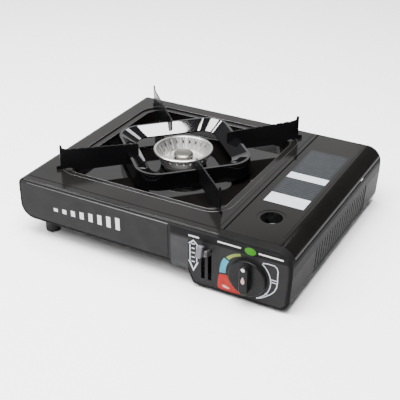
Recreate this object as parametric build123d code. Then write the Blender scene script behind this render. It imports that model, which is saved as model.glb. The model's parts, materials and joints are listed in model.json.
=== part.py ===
from build123d import *
import os
from math import atan2, cos, degrees, hypot, radians, sin, sqrt, tan

# Butane cassette stove: pressed steel case, lift-off pan support, ring burner and cartridge bay.
#
# Millimetres.  +X runs to the right along the front, +Y to the rear, +Z up from the ground.
# Everything is drawn about the middle of the case, and each node is moved back by half of what
# the knob stands proud, so that the origin is the middle of the whole footprint.

# ---------------------------------------------------------------- driving dimensions
# Case
CASE_W = 343.0            # width over the side walls
CASE_D = 275.0            # depth, front face to rear face
TOP_Z = 74.0              # top plate over the ground
DEEP_Z = 3.0              # underside of the cartridge side
RAISED_Z = 23.0           # underside of the burner side
SHEET = 0.8               # pressed steel sheet
STEP_RUN = 8.0            # sideways run of the step down to the deep side
WALL_LEAN = 2.5           # the right wall leans in by this at the bottom
LEAN_TOP_Z = 45.0         # the lean ends here
LEFT_SHOULDER_R = 8.6
RIGHT_SHOULDER_R = 18.7
LEFT_FOOT_R = 18.0        # bottom left corner of the case
RIGHT_FOOT_R = 12.0       # bottom right corner of the case
STEP_R = 6.0
EDGE_R = 3.0              # rounding all round the front and the rear face
SKIRT_H = 3.4             # depth of the top plate's skirt
HEM_W = 3.0               # folded rim round the front opening
RUN_GAP = 0.3             # gap between parts that move past each other
SEAM_GAP = 0.3            # gap between fixed panels
PANEL_REBATE_W = 0.9      # rebate round the face of each front panel
PANEL_REBATE_T = 0.4
PASS_GAP = 1.0            # clearance round what passes through a fixed panel
PANEL_T = 1.0
HALF_W = CASE_W / 2
FRONT_Y = -CASE_D / 2
REAR_Y = CASE_D / 2

# Cartridge side, set out from the right wall
CARTRIDGE_R = 33.0
BAY_IN = 47.5             # right wall to the axis of the cartridge and the knob
PLATE_BAY_GAP = 3.0       # cartridge to the edge of the top plate
SHIELD_IN = 4.0           # heat shield in from the edge of the top plate
STEP_FROM_KNOB = 74.0
SPLIT_FROM_KNOB = 95.0
SLOTS_FROM_KNOB = (53.0, 45.0)
KNOB_X = HALF_W - BAY_IN
PLATE_RIGHT_X = KNOB_X - CARTRIDGE_R - PLATE_BAY_GAP   # right edge of the top plate
SHIELD_X = PLATE_RIGHT_X - SHIELD_IN
STEP_X = KNOB_X - STEP_FROM_KNOB                       # where the raised underside ends
PANEL_SPLIT_X = KNOB_X - SPLIT_FROM_KNOB               # joint between the two front panels
SLOT_X = tuple(KNOB_X - reach for reach in SLOTS_FROM_KNOB)

# Top plate and its well
PLATE_FLANGE_H = 12.0
STEP_BAND_DROP = 1.6      # the band round the well lies this much lower
BAND_W = 8.5              # width of that band
WELL_R = 24.0
WELL_DEPTH = 14.0
WELL_SLOPE = 3.0          # each wall of the well leans in by this
LEFT_LAND = 25.5          # top plate between its edges and the band round the well
RIGHT_LAND = 12.0
FRONT_LAND = 35.5
REAR_LAND = 19.5
WELL_W = PLATE_RIGHT_X + HALF_W - LEFT_LAND - RIGHT_LAND - 2 * BAND_W
WELL_D = CASE_D - FRONT_LAND - REAR_LAND - 2 * BAND_W
BURNER_X = LEFT_LAND + BAND_W + WELL_W / 2 - HALF_W    # middle of burner, well and pan support
BURNER_Y = FRONT_Y + FRONT_LAND + BAND_W + WELL_D / 2
GROOVE_W = 1.4
GROOVE_DEPTH = 0.4
GROOVE_END = 15.0         # the lid's crease stops this far from its ends
FRONT_GROOVE_IN = 10.5
RIGHT_GROOVE_IN = 5.0
FRONT_GROOVE_Y = FRONT_Y + FRONT_GROOVE_IN
RIGHT_GROOVE_X = PLATE_RIGHT_X - RIGHT_GROOVE_IN

# Cartridge lid
LID_SEAM = 1.6            # top plate to the lid's left edge
LID_FRONT_IN = 11.5
LID_REAR_IN = 4.5
LID_EDGE_DROP = 12.0      # lid's lower edge on the right, under its top
LID_LEFT_X = PLATE_RIGHT_X + LID_SEAM
LID_FRONT_Y = FRONT_Y + LID_FRONT_IN
LID_REAR_Y = REAR_Y - LID_REAR_IN
LID_EDGE_Z = TOP_Z - LID_EDGE_DROP
LID_WALL_GAP = 1.5        # slot between the lid's edge and the right wall
LID_LIP_H = 7.0           # lip along the lid's left edge
CREASE_IN = 20.5          # crease in from the right wall
HINGE_IN = 4.5            # hinge in from the right wall
HINGE_UP = 1.5            # hinge over the lid's lower edge
LID_CREASE_X = HALF_W - CREASE_IN
HINGE_X = HALF_W - HINGE_IN
HINGE_Z = LID_EDGE_Z + HINGE_UP
HINGE_PIN_R = 1.25
HINGE_EAR_R = 2.6
PIN_PAST = 3.0            # each hinge pin reaches this far past the lid's end plate
PIN_FIT = 0.05            # radial running clearance of every pin and shaft
FINGER_FROM_KNOB = 2.0
FINGER_IN = 46.0          # finger hole behind the lid's front edge
FINGER_X = KNOB_X - FINGER_FROM_KNOB
FINGER_Y = LID_FRONT_Y + FINGER_IN
FINGER_R = 12.0
DIMPLE_R = 16.0
LABEL_LEFT = 26.0         # label's edges from the knob's axis
LABEL_RIGHT = 22.0
LABEL_FRONT = 76.0        # label's ends in from the lid's ends
LABEL_REAR = 43.0
LABEL_X0 = KNOB_X - LABEL_LEFT
LABEL_X1 = KNOB_X + LABEL_RIGHT
LABEL_Y0 = LID_FRONT_Y + LABEL_FRONT
LABEL_Y1 = LID_REAR_Y - LABEL_REAR
LABEL_R = 1.5
LABEL_T = 0.15

# Front
SLOT_W = 4.4
KNOB_Z = 34.0
KNOB_R = 21.0
KNOB_PROUD = 14.0         # knob's front over the case's front face
KNOB_SKIRT_T = 5.0
KNOB_EDGE_R = 1.6
KNOB_GAP = 0.6            # knob skirt to panel
KNOB_BORE = 4.0           # depth of the knob's bore past its skirt
GRIP_W = 9.5
GRIP_EDGE_R = 1.5
GRIP_INSET = 1.5          # grip bar's pointing end in from the knob's rim
GRIP_TAIL = 6.0           # its other end in from the rim
MARK_DEPTH = 0.3          # pockets in the bar's front for the painted marks
DOT_R = 2.3
DOT_IN = 5.2              # dot's middle in from the knob's rim
FLAME_L = 9.0
FLAME_W = 4.6
FLAME_UP = 3.0            # flame mark's middle over the knob's axis
BULKHEAD_IN = 9.5
BULKHEAD_REACH = 9.0      # bulkhead past the left lever slot
BULKHEAD_Y = FRONT_Y + BULKHEAD_IN
BULKHEAD_LEFT_X = SLOT_X[0] - BULKHEAD_REACH

# Lock lever and cartridge carriage
LEVER_PIVOT_IN = 39.5     # front face to the lever's pivot
LEVER_GRIP_OUT = 10.1     # middle of the grip in front of the front face
LEVER_PIVOT_Y = FRONT_Y + LEVER_PIVOT_IN
LEVER_PIVOT_Z = KNOB_Z
LEVER_REACH = LEVER_PIVOT_IN + LEVER_GRIP_OUT
LEVER_SWING = 42.0        # degrees, up to down
LEVER_T = 2.0
LEVER_ARM_H = 7.0
LEVER_TIP = 2.0           # arm past the middle of its grip
LEVER_PIN_R = 2.0
LEVER_HUB_WALL = 2.5
LEVER_FINGER = 8.0        # height of the finger that draws the carriage, over the pivot
FINGER_T = 3.0
GRIP_H = 13.0
GRIP_T = 7.0
GRIP_W0 = 6.4             # grip on the left arm
GRIP_W1 = 4.0             # grip on the right arm
GRIP_ROUND = 1.2
EAR_GAP = 4.0             # lever's hub to the outside of its bracket's left ear
EAR_HALF = 5.0            # half the bracket's depth, and its height over the pivot
EAR_SHIELD_GAP = 1.0

# Regulator, valve and cartridge space, set out from the bulkhead
VALVE_W = 32.0
VALVE_H = 28.0
VALVE_L = 23.0
VALVE_EDGE_R = 3.0
VALVE_SCREW_IN = 4.0      # valve screws in from the valve's sides
VALVE_SCREW_L = 8.0       # thread in the valve
SPINDLE_R = 4.0
SPINDLE_IN = 16.0         # bulkhead to the spindle's inner end
SPINDLE_END_GAP = 0.5
REGULATOR_R = 23.0
REGULATOR_L = 34.0
REGULATOR_EDGE_R = 2.0
COVER_R = 14.0            # diaphragm cover, lower and upper step
COVER_TOP_R = 9.0
COVER_SEAT = 3.0
COVER_STEP = 1.0
COVER_H = 3.0
REGULATOR_Y0 = BULKHEAD_Y + PANEL_T + VALVE_L
REGULATOR_Y1 = REGULATOR_Y0 + REGULATOR_L
COLLAR_R = 17.4           # socket for the cartridge's collar
COLLAR_DEPTH = 8.0
NOZZLE_R = 4.0            # seat for the cartridge's nozzle, in the floor of the socket
NOZZLE_DEPTH = 5.0
CAN_LIFT = 1.7            # cartridge over the deep floor, above the heat strip
CARTRIDGE_GAP = 8.0       # regulator to the cartridge at rest
CARTRIDGE_REAR_GAP = 9.5  # cartridge to the rear face
CARTRIDGE_Z = DEEP_Z + SHEET + CARTRIDGE_R + CAN_LIFT
CARTRIDGE_FRONT_Y = REGULATOR_Y1 + CARTRIDGE_GAP
CARTRIDGE_REAR_Y = REAR_Y - CARTRIDGE_REAR_GAP
CRADLE_FRONT_IN = 27.0
CRADLE_REAR_IN = 33.0
CRADLE_Y = (CARTRIDGE_FRONT_Y + CRADLE_FRONT_IN, CARTRIDGE_REAR_Y - CRADLE_REAR_IN)
CRADLE_HALF_W = 26.0
CRADLE_T = 8.0
CRADLE_TOP_Z = 14.0
STOP_GAP = 2.0            # cartridge to its rear stop
STOP_HALF_W = 20.0
STOP_FOOT = 10.0
STRIP_W = 30.0            # heat strip
STRIP_T = 1.2
SHIELD_BACK = 4.0         # shield starts this far before the regulator's rear face
SHIELD_FRONT_Y = REGULATOR_Y1 - SHIELD_BACK
SHIELD_FOOT_W = 8.0
PIPE_R = 3.0
PIPE_IN = 20.0            # pipe behind the regulator's front face
PIPE_Y = REGULATOR_Y0 + PIPE_IN
TUBE_DROP = 14.0          # gas pipe and mixing tube under the floor of the well
PIPE_Z = TOP_Z - WELL_DEPTH - TUBE_DROP

# Burner
RIM_R = 36.0
RIM_RISE = 7.0            # burner's rim over the top plate
HEAD_H = 17.5             # foot of the head to its rim
RIM_Z = TOP_Z + RIM_RISE
HEAD_FOOT_Z = RIM_Z - HEAD_H
CHAMBER_R = 24.0
CHAMBER_WALL = 2.0
HEAD_FLOOR_T = 3.0
HEAD_FOOT_IN = 8.0        # foot of the head in from its rim
RIM_FLARE = 4.5           # rim out past the head's throat
HEAD_WALL = 6.5
FLAME_SLOTS = 24
FLAME_SLOT_W = 1.6
FLUTE_R = 2.7             # flutes inside the bowl, one at each flame slot
FLUTE_DEPTH = 1.3
HOLE_UNDER = 9.0          # well's hole in from the burner's rim
WELL_HOLE_R = RIM_R - HOLE_UNDER
CAP_R = 12.0
CAP_H = 9.4
CAP_WALL = 2.0
CAP_CROWN_H = 4.0         # closed top of the cap
CAP_WINDOWS = 4
CAP_WINDOW_W = 5.4
CAP_WINDOW_H = 4.6
CAP_TURN = -15.0          # degrees, first window from the X axis
GAS_BORE_R = 8.0
BRACKET_T = 1.2
BRACKET_W = 44.0
BRACKET_D = 28.0
BRACKET_FOOT = 12.0       # foot on each side of the bracket
BRACKET_SCREW_OUT = 7.0   # bracket's wall to its screw
TUBE_R = 9.0
TUBE_WALL = 1.4
TUBE_Z = PIPE_Z
CHAMBER_SUMP = 1.0        # chamber's floor under the mixing tube
CHAMBER_Z = TUBE_Z - TUBE_R - CHAMBER_SUMP
TUBE_REACH = 108.0        # burner axis to the mouth of the mixing tube
TUBE_ANGLE = -42.0        # degrees, in plan
TUBE_FLARE = 3.0          # the mouth opens by this
TUBE_FLARE_L = 12.0
AIR_WINDOW_IN = 15.0      # mouth to the near end of the air windows
AIR_WINDOW_L = 11.0
AIR_WINDOW_W = 8.0
SHUTTER_IN = 22.0         # mouth to the air shutter
SHUTTER_L = 14.0
SHUTTER_T = 1.0
JET_GAP = 3.0             # jet's seat outside the tube's mouth
JET_R = 2.4
JET_REACH = 8.0           # jet's tip inside the mouth

# Ignition
CAM_R = 8.5               # snail cam at its low point
CAM_T = 3.0
CAM_DROP = 20.0           # degrees over which the cam falls back
KNOB_TURN = 150.0         # degrees, off to the end stop
STRIKER_TRAVEL = 4.0
STRIKER_R = 2.0
PIEZO_R = 3.8
PIEZO_BACK_GAP = 0.4      # piezo body to the bulkhead
PIEZO_FROM_KNOB = (39.0, 20.0)
PIEZO_WALL = 5.0          # closed end of the piezo body
PIEZO_END_GAP = 1.0       # striker to the closed end when pressed home
PIEZO_X0 = KNOB_X - PIEZO_FROM_KNOB[0]
PIEZO_X1 = KNOB_X - PIEZO_FROM_KNOB[1]
PIEZO_Y = BULKHEAD_Y - PIEZO_R - PIEZO_BACK_GAP
CLIP_W = 8.0
CLIP_WALL = 1.2
LEAD_R = 1.2
ELECTRODE_OUT = 7.0       # electrode behind the burner's rim
ELECTRODE_REACH = RIM_R + ELECTRODE_OUT
ELECTRODE_BEND_R = 2.0
ELECTRODE_R = 0.9
ELECTRODE_TAIL = 9.0      # insulator under the floor of the well
SPARK_GAP = 2.5           # electrode's tip to the burner's rim
INSULATOR_R = 3.0
INSULATOR_H = 13.0        # insulator over the floor of the well
INSULATOR_STEP = 2.0      # insulator's collar, out past its body
INSULATOR_COLLAR_H = 3.0

# Pan support
RING_MARGIN = 15.5        # ring's corner to the nearest edge of the well
RING_CORNER_R = 28.0
RING_REACH = min(WELL_W, WELL_D) / 2 - RING_MARGIN
RING_FLAT = (RING_REACH - RING_CORNER_R) / sqrt(2) + RING_CORNER_R     # middle to the ring's flat sides
RING_BAND_W = 19.0        # flat sides of the ring to those of its opening
RING_OPENING = RING_FLAT - RING_BAND_W
RING_OPENING_CORNER_R = 18.0
RING_RISE = 12.0          # ring's crest over the top plate
RING_H = 20.0             # foot of the ring's skirt to its crest
RING_DISH = 9.0           # crest to the edge of the opening
RING_TOP_Z = TOP_Z + RING_RISE
RING_FOOT_Z = RING_TOP_Z - RING_H
RING_OPENING_Z = RING_TOP_Z - RING_DISH
RING_FLARE = 1.5          # the skirt spreads by this towards its foot
RING_CREST = 3.0          # flat width along the ring's top
RING_T = 1.2
BLADE_T = 1.6
BLADE_INSIDE = 5.0        # blade's inner end out from the ring's opening
BLADE_PAST = 5.2          # post outside the band round the well
NUB_L = 5.0               # rest outside the post
WELL_CLEAR = 2.3          # blade turns up this far inside the well's edge
BLADE_INNER_R = RING_OPENING + BLADE_INSIDE
BLADE_IN_RISE = 20.5      # pan edge over the top plate at its inner end
BLADE_OUT_RISE = 24.5     # and at its outer end
POST_RISE = 30.0
BLADE_DROP = 4.5          # blade's lower edge under the top plate, over the well
BLADE_TOP_IN_Z = TOP_Z + BLADE_IN_RISE
BLADE_TOP_OUT_Z = TOP_Z + BLADE_OUT_RISE
BLADE_POST_Z = TOP_Z + POST_RISE
BLADE_FOOT_Z = TOP_Z - BLADE_DROP
TAB_L = 4.0               # locating tab under each blade's outer end
TAB_DROP = 2.4            # the tab reaches this far under the band
TAB_GAP = 0.5             # all round the tab in its slot
SEAT_GAP = 0.2            # pan support over the top plate
NOTCHES = 9
NOTCH_R = 1.4
NOTCH_IN = 8.0            # first notch from the blade's inner end
NOTCH_OUT = 12.0          # last notch from its post

# Feet and fixings
FOOT_IN_X = 26.5          # feet in from the side walls
FOOT_IN_Y = 23.5          # and from the front and rear faces
FOOT_X = HALF_W - FOOT_IN_X
FOOT_Y = REAR_Y - FOOT_IN_Y
FOOT_R = 9.0
FOOT_TIP_R = 7.5
FOOT_CHAMFER = 0.8
FOOT_SCREW_L = 14.0
SCREW_R = 1.5
SCREW_HEAD_R = 3.2
SCREW_HEAD_T = 1.6
VENT_COUNT = 20
VENT_W = 2.4
VENT_H = 27.0
VENT_FRONT_IN = 69.5      # first and last side vent, in from the front and rear faces
VENT_REAR_IN = 59.5
VENT_Y0 = FRONT_Y + VENT_FRONT_IN
VENT_Y1 = REAR_Y - VENT_REAR_IN
VENT_Z0 = 18.0
FIELD_PRESS = 0.5         # the wall round the side vents is pressed in by this
FIELD_OUT = 7.5           # pressed field past the first and last vent
FIELD_UP = 3.5            # and over and under them
FIELD_R = 5.0
REAR_VENT_COUNT = 9
REAR_VENT_PITCH = 7.0
FLOOR_VENT_COUNT = 7
FLOOR_VENT_PITCH = 12.0
FLOOR_VENT_X = 62.0
FLOOR_VENT_L = 34.0

# ---------------------------------------------------------------- sizes that follow
SEAM_Z = TOP_Z - SKIRT_H
WALL_TOP_Z = LID_EDGE_Z - LID_WALL_GAP
DEEP_FLOOR_Z = DEEP_Z + SHEET
RAISED_FLOOR_Z = RAISED_Z + SHEET
BAND_Z = TOP_Z - STEP_BAND_DROP
WELL_FLOOR_Z = TOP_Z - WELL_DEPTH
PANEL_BACK_Y = FRONT_Y + PANEL_T
CARRIAGE_TRAVEL = 2 * (LEVER_FINGER - FINGER_T / 2) * tan(radians(LEVER_SWING / 2))
LEVER_X0 = SLOT_X[0] - LEVER_T / 2
LEVER_X1 = SLOT_X[1] + LEVER_T / 2
BRACKET_X0 = LEVER_X0 - EAR_GAP             # outside of the lever bracket's left ear
BRACKET_X1 = SHIELD_X - EAR_SHIELD_GAP      # outside of its right ear
STAND = Location((0, KNOB_PROUD / 2, 0))
BURNER = Pos(BURNER_X, BURNER_Y, 0)
FAR = 400.0               # reach of a cut that has to clear the whole stove


def diagonal_reach(grow):
    """From the burner's axis to the well's edge, grown by grow, along the blades."""
    side = min(WELL_W, WELL_D) / 2 + grow
    centre_x = WELL_W / 2 - WELL_R
    centre_y = WELL_D / 2 - WELL_R
    if side <= max(centre_x, centre_y):
        return side * sqrt(2)
    across = (centre_x - centre_y) ** 2 / 2
    return (centre_x + centre_y) / sqrt(2) + sqrt((WELL_R + grow) ** 2 - across)


BLADE_POST_R = diagonal_reach(BAND_W) + BLADE_PAST
BLADE_NUB_R = BLADE_POST_R + NUB_L
BLADE_WELL_R = diagonal_reach(0) - WELL_CLEAR


# ---------------------------------------------------------------- small helpers
def block(x0, x1, y0, y1, z0, z1):
    """A box between two corners."""
    return Pos((x0 + x1) / 2, (y0 + y1) / 2, (z0 + z1) / 2) * Box(x1 - x0, y1 - y0, z1 - z0)


def rod_z(x, y, z0, z1, r):
    """A round bar along Z."""
    return Pos(x, y, (z0 + z1) / 2) * Cylinder(r, z1 - z0)


def rod_y(x, z, y0, y1, r):
    """A round bar along Y."""
    return Pos(x, (y0 + y1) / 2, z) * Rot(90, 0, 0) * Cylinder(r, y1 - y0)


def rod_x(y, z, x0, x1, r):
    """A round bar along X."""
    return Pos((x0 + x1) / 2, y, z) * Rot(0, 90, 0) * Cylinder(r, x1 - x0)


def along_y(face, y0, y1):
    """A face drawn in X and Z, carried from y0 back to y1."""
    return extrude(Plane.XZ.offset(-y1) * face, amount=y1 - y0)


def along_x(face, x0, x1):
    """A face drawn in Y and Z, carried from x0 to x1."""
    return extrude(Plane.YZ.offset(x0) * face, amount=x1 - x0)


def polygon(*points):
    """A closed face through the points."""
    return make_face(Polyline(*points, close=True))


def corner_at(face, x, y):
    """The face's vertex nearest to x, y."""
    return face.vertices().sort_by_distance((x, y, 0))[0]


def turned(profile):
    """A profile of radius and height, turned about the vertical axis."""
    return revolve(Plane.XZ * profile, Axis.Z)


def save(node, *pieces):
    """Write one node, moved into the stove's own frame."""
    solids = [solid for piece in pieces for solid in piece.solids()]
    shape = solids[0] if len(solids) == 1 else Compound(solids)
    export_step(shape.moved(STAND), f"parts/{node}.step")


# ---------------------------------------------------------------- the case's outer form
def body_section(inset=0.0):
    """Outline of the whole stove across its width, shrunk by inset."""
    foot_x = STEP_X + STEP_RUN
    corners = {
        (-HALF_W, TOP_Z): LEFT_SHOULDER_R,
        (-HALF_W, RAISED_Z): LEFT_FOOT_R,
        (STEP_X, RAISED_Z): STEP_R,
        (foot_x, DEEP_Z): STEP_R,
        (HALF_W - WALL_LEAN, DEEP_Z): RIGHT_FOOT_R,
        (HALF_W, LEAN_TOP_Z): None,
        (HALF_W, TOP_Z): RIGHT_SHOULDER_R,
    }
    face = polygon(*corners)
    for (x, z), radius in corners.items():
        if radius:
            face = fillet(corner_at(face, x, z), radius)
    return offset(face, -inset) if inset else face


def body_block(inset=0.0):
    """The solid form of the whole stove, shrunk by inset."""
    solid = along_y(body_section(inset), FRONT_Y + inset, REAR_Y - inset)
    ends = solid.faces().sort_by(Axis.Y)
    return fillet(ends[0].edges() + ends[-1].edges(), EDGE_R - inset)


OUTER = body_block()
INNER = body_block(SHEET)
SHELL = OUTER - INNER
PLATE_ZONE = block(-FAR, PLATE_RIGHT_X, -FAR, FAR, SEAM_Z, FAR)


def front_opening(inset, x0, x1):
    """The front face inside its hem, from x0 to x1, below the top plate's skirt."""
    window = Pos((x0 + x1) / 2, SEAM_Z - inset - FAR / 2) * Rectangle(x1 - x0, FAR)
    return body_section(HEM_W + inset) & window


def side_vents():
    """Upright slots through the right wall, beside the cartridge."""
    pitch = (VENT_Y1 - VENT_Y0) / (VENT_COUNT - 1)
    starts = [VENT_Y0 + i * pitch - VENT_W / 2 for i in range(VENT_COUNT)]
    return [block(HALF_W - 2 * RIGHT_FOOT_R, FAR, y, y + VENT_W, VENT_Z0, VENT_Z0 + VENT_H) for y in starts]


def side_field():
    """The rounded field of the right wall that is pressed in round its vents."""
    y0, y1 = VENT_Y0 - FIELD_OUT, VENT_Y1 + FIELD_OUT
    z0, z1 = VENT_Z0 - FIELD_UP, VENT_Z0 + VENT_H + FIELD_UP
    outline = Pos((y0 + y1) / 2, (z0 + z1) / 2) * RectangleRounded(y1 - y0, z1 - z0, FIELD_R)
    return along_x(outline, HALF_W - 2 * RIGHT_FOOT_R, FAR)


def rear_vents():
    """Upright slots through the rear wall, behind the cartridge."""
    starts = [KNOB_X + (i - REAR_VENT_COUNT / 2) * REAR_VENT_PITCH for i in range(REAR_VENT_COUNT)]
    return [block(x, x + VENT_W, 0, FAR, VENT_Z0 + VENT_W, VENT_Z0 + VENT_H) for x in starts]


def floor_vents():
    """Two rows of air slots in the raised floor, either side of the burner's bracket."""
    slots = []
    for side in (-1, 1):
        for i in range(FLOOR_VENT_COUNT):
            x = BURNER_X + side * FLOOR_VENT_X
            y = BURNER_Y + (i - (FLOOR_VENT_COUNT - 1) / 2) * FLOOR_VENT_PITCH
            slots.append(block(x - FLOOR_VENT_L / 2, x + FLOOR_VENT_L / 2, y - VENT_W / 2, y + VENT_W / 2,
                               RAISED_Z - 1, RAISED_FLOOR_Z + 1))
    return slots


def case():
    """Pressed case: floor on two levels, side and rear walls, front hem and front rail."""
    pan = SHELL - PLATE_ZONE
    pan -= block(PLATE_RIGHT_X, FAR, LID_FRONT_Y - RUN_GAP, LID_REAR_Y + RUN_GAP, WALL_TOP_Z, FAR)
    pan -= along_y(front_opening(0, -FAR, FAR), FRONT_Y - 1, FRONT_Y + SHEET + 1)
    field = side_field()
    pan = pan - field + ((body_block(FIELD_PRESS) - body_block(FIELD_PRESS + SHEET)) & field)
    for vent in side_vents() + rear_vents() + floor_vents():
        pan -= vent
    pan -= rod_y(HINGE_X, HINGE_Z, LID_REAR_Y, FAR, HINGE_PIN_R)
    for x, y, _ in foot_places():
        pan -= rod_z(x, y, -FAR, RAISED_Z + 2, SCREW_R)
    return pan


# ---------------------------------------------------------------- top plate
def well_slab(grow, z0, z1):
    """The well's plan, grown by grow, from z0 up to z1 with straight sides."""
    plan = RectangleRounded(WELL_W + 2 * grow, WELL_D + 2 * grow, WELL_R + grow)
    return BURNER * Pos(0, 0, z0) * extrude(plan, amount=z1 - z0)


def well_form(grow, z0):
    """The well itself, from z0 up to its band, with leaning walls."""
    low = RectangleRounded(WELL_W - 2 * WELL_SLOPE + 2 * grow, WELL_D - 2 * WELL_SLOPE + 2 * grow,
                           WELL_R - WELL_SLOPE + grow)
    high = RectangleRounded(WELL_W + 2 * grow, WELL_D + 2 * grow, WELL_R + grow)
    return BURNER * loft([Pos(0, 0, z0) * low, Pos(0, 0, BAND_Z) * high])


def top_plate():
    """Top plate with its skirt, the stepped well and the flange beside the cartridge lid."""
    plate = SHELL & PLATE_ZONE
    plate += well_slab(BAND_W + SHEET, BAND_Z - SHEET, TOP_Z - SHEET / 2)
    plate += well_form(SHEET, WELL_FLOOR_Z - SHEET)
    plate -= well_slab(BAND_W, BAND_Z, TOP_Z + 1)
    plate -= well_form(0, WELL_FLOOR_Z)
    plate += block(PLATE_RIGHT_X - SHEET, PLATE_RIGHT_X, LID_FRONT_Y, LID_REAR_Y,
                   TOP_Z - PLATE_FLANGE_H, TOP_Z - SHEET / 2)
    plate -= BURNER * rod_z(0, 0, 0, TOP_Z, WELL_HOLE_R)
    plate -= rod_z(BURNER_X, BURNER_Y + ELECTRODE_REACH, 0, TOP_Z, INSULATOR_R)
    long = TAB_L / 2 + TAB_GAP
    wide = BLADE_T / 2 + TAB_GAP
    tab_slot = block(BLADE_POST_R - long, BLADE_POST_R + long, -wide, wide, BAND_Z - 2 * SHEET, FAR)
    for angle in blade_angles():
        plate -= BURNER * Rot(0, 0, angle) * tab_slot
    plate -= block(-HALF_W + LEFT_SHOULDER_R, PLATE_RIGHT_X, FRONT_GROOVE_Y - GROOVE_W / 2,
                   FRONT_GROOVE_Y + GROOVE_W / 2, TOP_Z - GROOVE_DEPTH, FAR)
    plate -= block(RIGHT_GROOVE_X - GROOVE_W / 2, RIGHT_GROOVE_X + GROOVE_W / 2,
                   FRONT_GROOVE_Y, REAR_Y - EDGE_R, TOP_Z - GROOVE_DEPTH, FAR)
    return plate


# ---------------------------------------------------------------- cartridge lid
def lid():
    """Cartridge lid: top and shoulder, left lip, and an end plate with its ear at each end."""
    zone = block(LID_LEFT_X, FAR, LID_FRONT_Y, LID_REAR_Y, LID_EDGE_Z, FAR)
    cover = SHELL & zone
    cover += OUTER & block(LID_LEFT_X, LID_LEFT_X + SHEET, LID_FRONT_Y, LID_REAR_Y,
                           TOP_Z - LID_LIP_H, FAR)
    ear = Pos(HINGE_X, HINGE_Z) * Circle(HINGE_EAR_R)
    for y in (LID_FRONT_Y, LID_REAR_Y - SHEET):
        cover += OUTER & block(LID_LEFT_X, FAR, y, y + SHEET, TOP_Z - LID_LIP_H, FAR)
        cover += OUTER & block(HINGE_X - 2 * LID_LIP_H, FAR, y, y + SHEET, LID_EDGE_Z, FAR)
        cover += along_y(ear, y, y + SHEET)
    cover -= rod_y(HINGE_X, HINGE_Z, -FAR, FAR, HINGE_PIN_R + PIN_FIT)
    cover -= rod_z(FINGER_X, FINGER_Y, 0, FAR, FINGER_R)
    cover -= rod_z(FINGER_X, FINGER_Y, TOP_Z - GROOVE_DEPTH, FAR, DIMPLE_R)
    cover -= block(LID_CREASE_X - GROOVE_W / 2, LID_CREASE_X + GROOVE_W / 2, LID_FRONT_Y + GROOVE_END,
                   LID_REAR_Y - GROOVE_END, TOP_Z - GROOVE_DEPTH, FAR)
    return cover


def lid_pins():
    """Two hinge pins: the front one in the bulkhead, the rear one in the rear wall."""
    front = rod_y(HINGE_X, HINGE_Z, BULKHEAD_Y - SHEET, LID_FRONT_Y + SHEET + PIN_PAST, HINGE_PIN_R)
    rear = rod_y(HINGE_X, HINGE_Z, LID_REAR_Y - SHEET - PIN_PAST, REAR_Y - SHEET / 2, HINGE_PIN_R)
    return front, rear


def label():
    """Sticker on the lid."""
    sheet = RectangleRounded(LABEL_X1 - LABEL_X0, LABEL_Y1 - LABEL_Y0, LABEL_R)
    middle = Pos((LABEL_X0 + LABEL_X1) / 2, (LABEL_Y0 + LABEL_Y1) / 2, TOP_Z)
    return middle * extrude(sheet, amount=LABEL_T)


# ---------------------------------------------------------------- front
def front_plate(x0, x1):
    """A front panel from x0 to x1, its face raised by a shallow rebate all round."""
    base = along_y(front_opening(SEAM_GAP, x0, x1), FRONT_Y + PANEL_REBATE_T, PANEL_BACK_Y)
    face = front_opening(SEAM_GAP + PANEL_REBATE_W, x0 + PANEL_REBATE_W, x1 - PANEL_REBATE_W)
    return base + along_y(face, FRONT_Y, FRONT_Y + PANEL_REBATE_T)


def front_panel():
    """Plain front of the burner side."""
    return front_plate(-FAR, PANEL_SPLIT_X - SEAM_GAP / 2)


def lever_sweep():
    """Half the height that the lever's arm sweeps where it passes the control panel."""
    reach = LEVER_PIVOT_Y - FRONT_Y
    return reach * tan(radians(LEVER_SWING / 2)) + LEVER_ARM_H / 2 / cos(radians(LEVER_SWING / 2))


def control_panel():
    """Front of the cartridge side, with the lever slots and the spindle hole."""
    plate = front_plate(PANEL_SPLIT_X + SEAM_GAP / 2, FAR)
    half = lever_sweep() + PASS_GAP
    for x in SLOT_X:
        plate -= block(x - SLOT_W / 2, x + SLOT_W / 2, -FAR, 0, LEVER_PIVOT_Z - half, LEVER_PIVOT_Z + half)
    plate -= rod_y(KNOB_X, KNOB_Z, -FAR, 0, SPINDLE_R + PASS_GAP)
    return plate


# ---------------------------------------------------------------- knob and valve
def knob():
    """Round knob with a raised grip bar, bored for its spindle."""
    base_y = FRONT_Y - KNOB_GAP
    skirt = rod_y(KNOB_X, KNOB_Z, base_y - KNOB_SKIRT_T, base_y, KNOB_R)
    skirt = fillet(skirt.faces().sort_by(Axis.Y)[0].edges(), KNOB_EDGE_R)
    middle_z = KNOB_Z + (GRIP_TAIL - GRIP_INSET) / 2
    bar = Pos(KNOB_X, middle_z) * SlotOverall(2 * KNOB_R - GRIP_INSET - GRIP_TAIL, GRIP_W, rotation=90)
    front_y = FRONT_Y - KNOB_PROUD
    grip = along_y(bar, front_y, base_y - KNOB_SKIRT_T)
    grip = fillet(grip.faces().sort_by(Axis.Y)[0].edges(), GRIP_EDGE_R)
    grip -= rod_y(KNOB_X, KNOB_Z + KNOB_R - DOT_IN, front_y, front_y + MARK_DEPTH, DOT_R)
    flame = Pos(KNOB_X, KNOB_Z + FLAME_UP) * SlotOverall(FLAME_L, FLAME_W, rotation=90)
    grip -= along_y(flame, front_y, front_y + MARK_DEPTH)
    return skirt + grip - rod_y(KNOB_X, KNOB_Z, base_y - KNOB_SKIRT_T - KNOB_BORE, FAR, SPINDLE_R)


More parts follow.
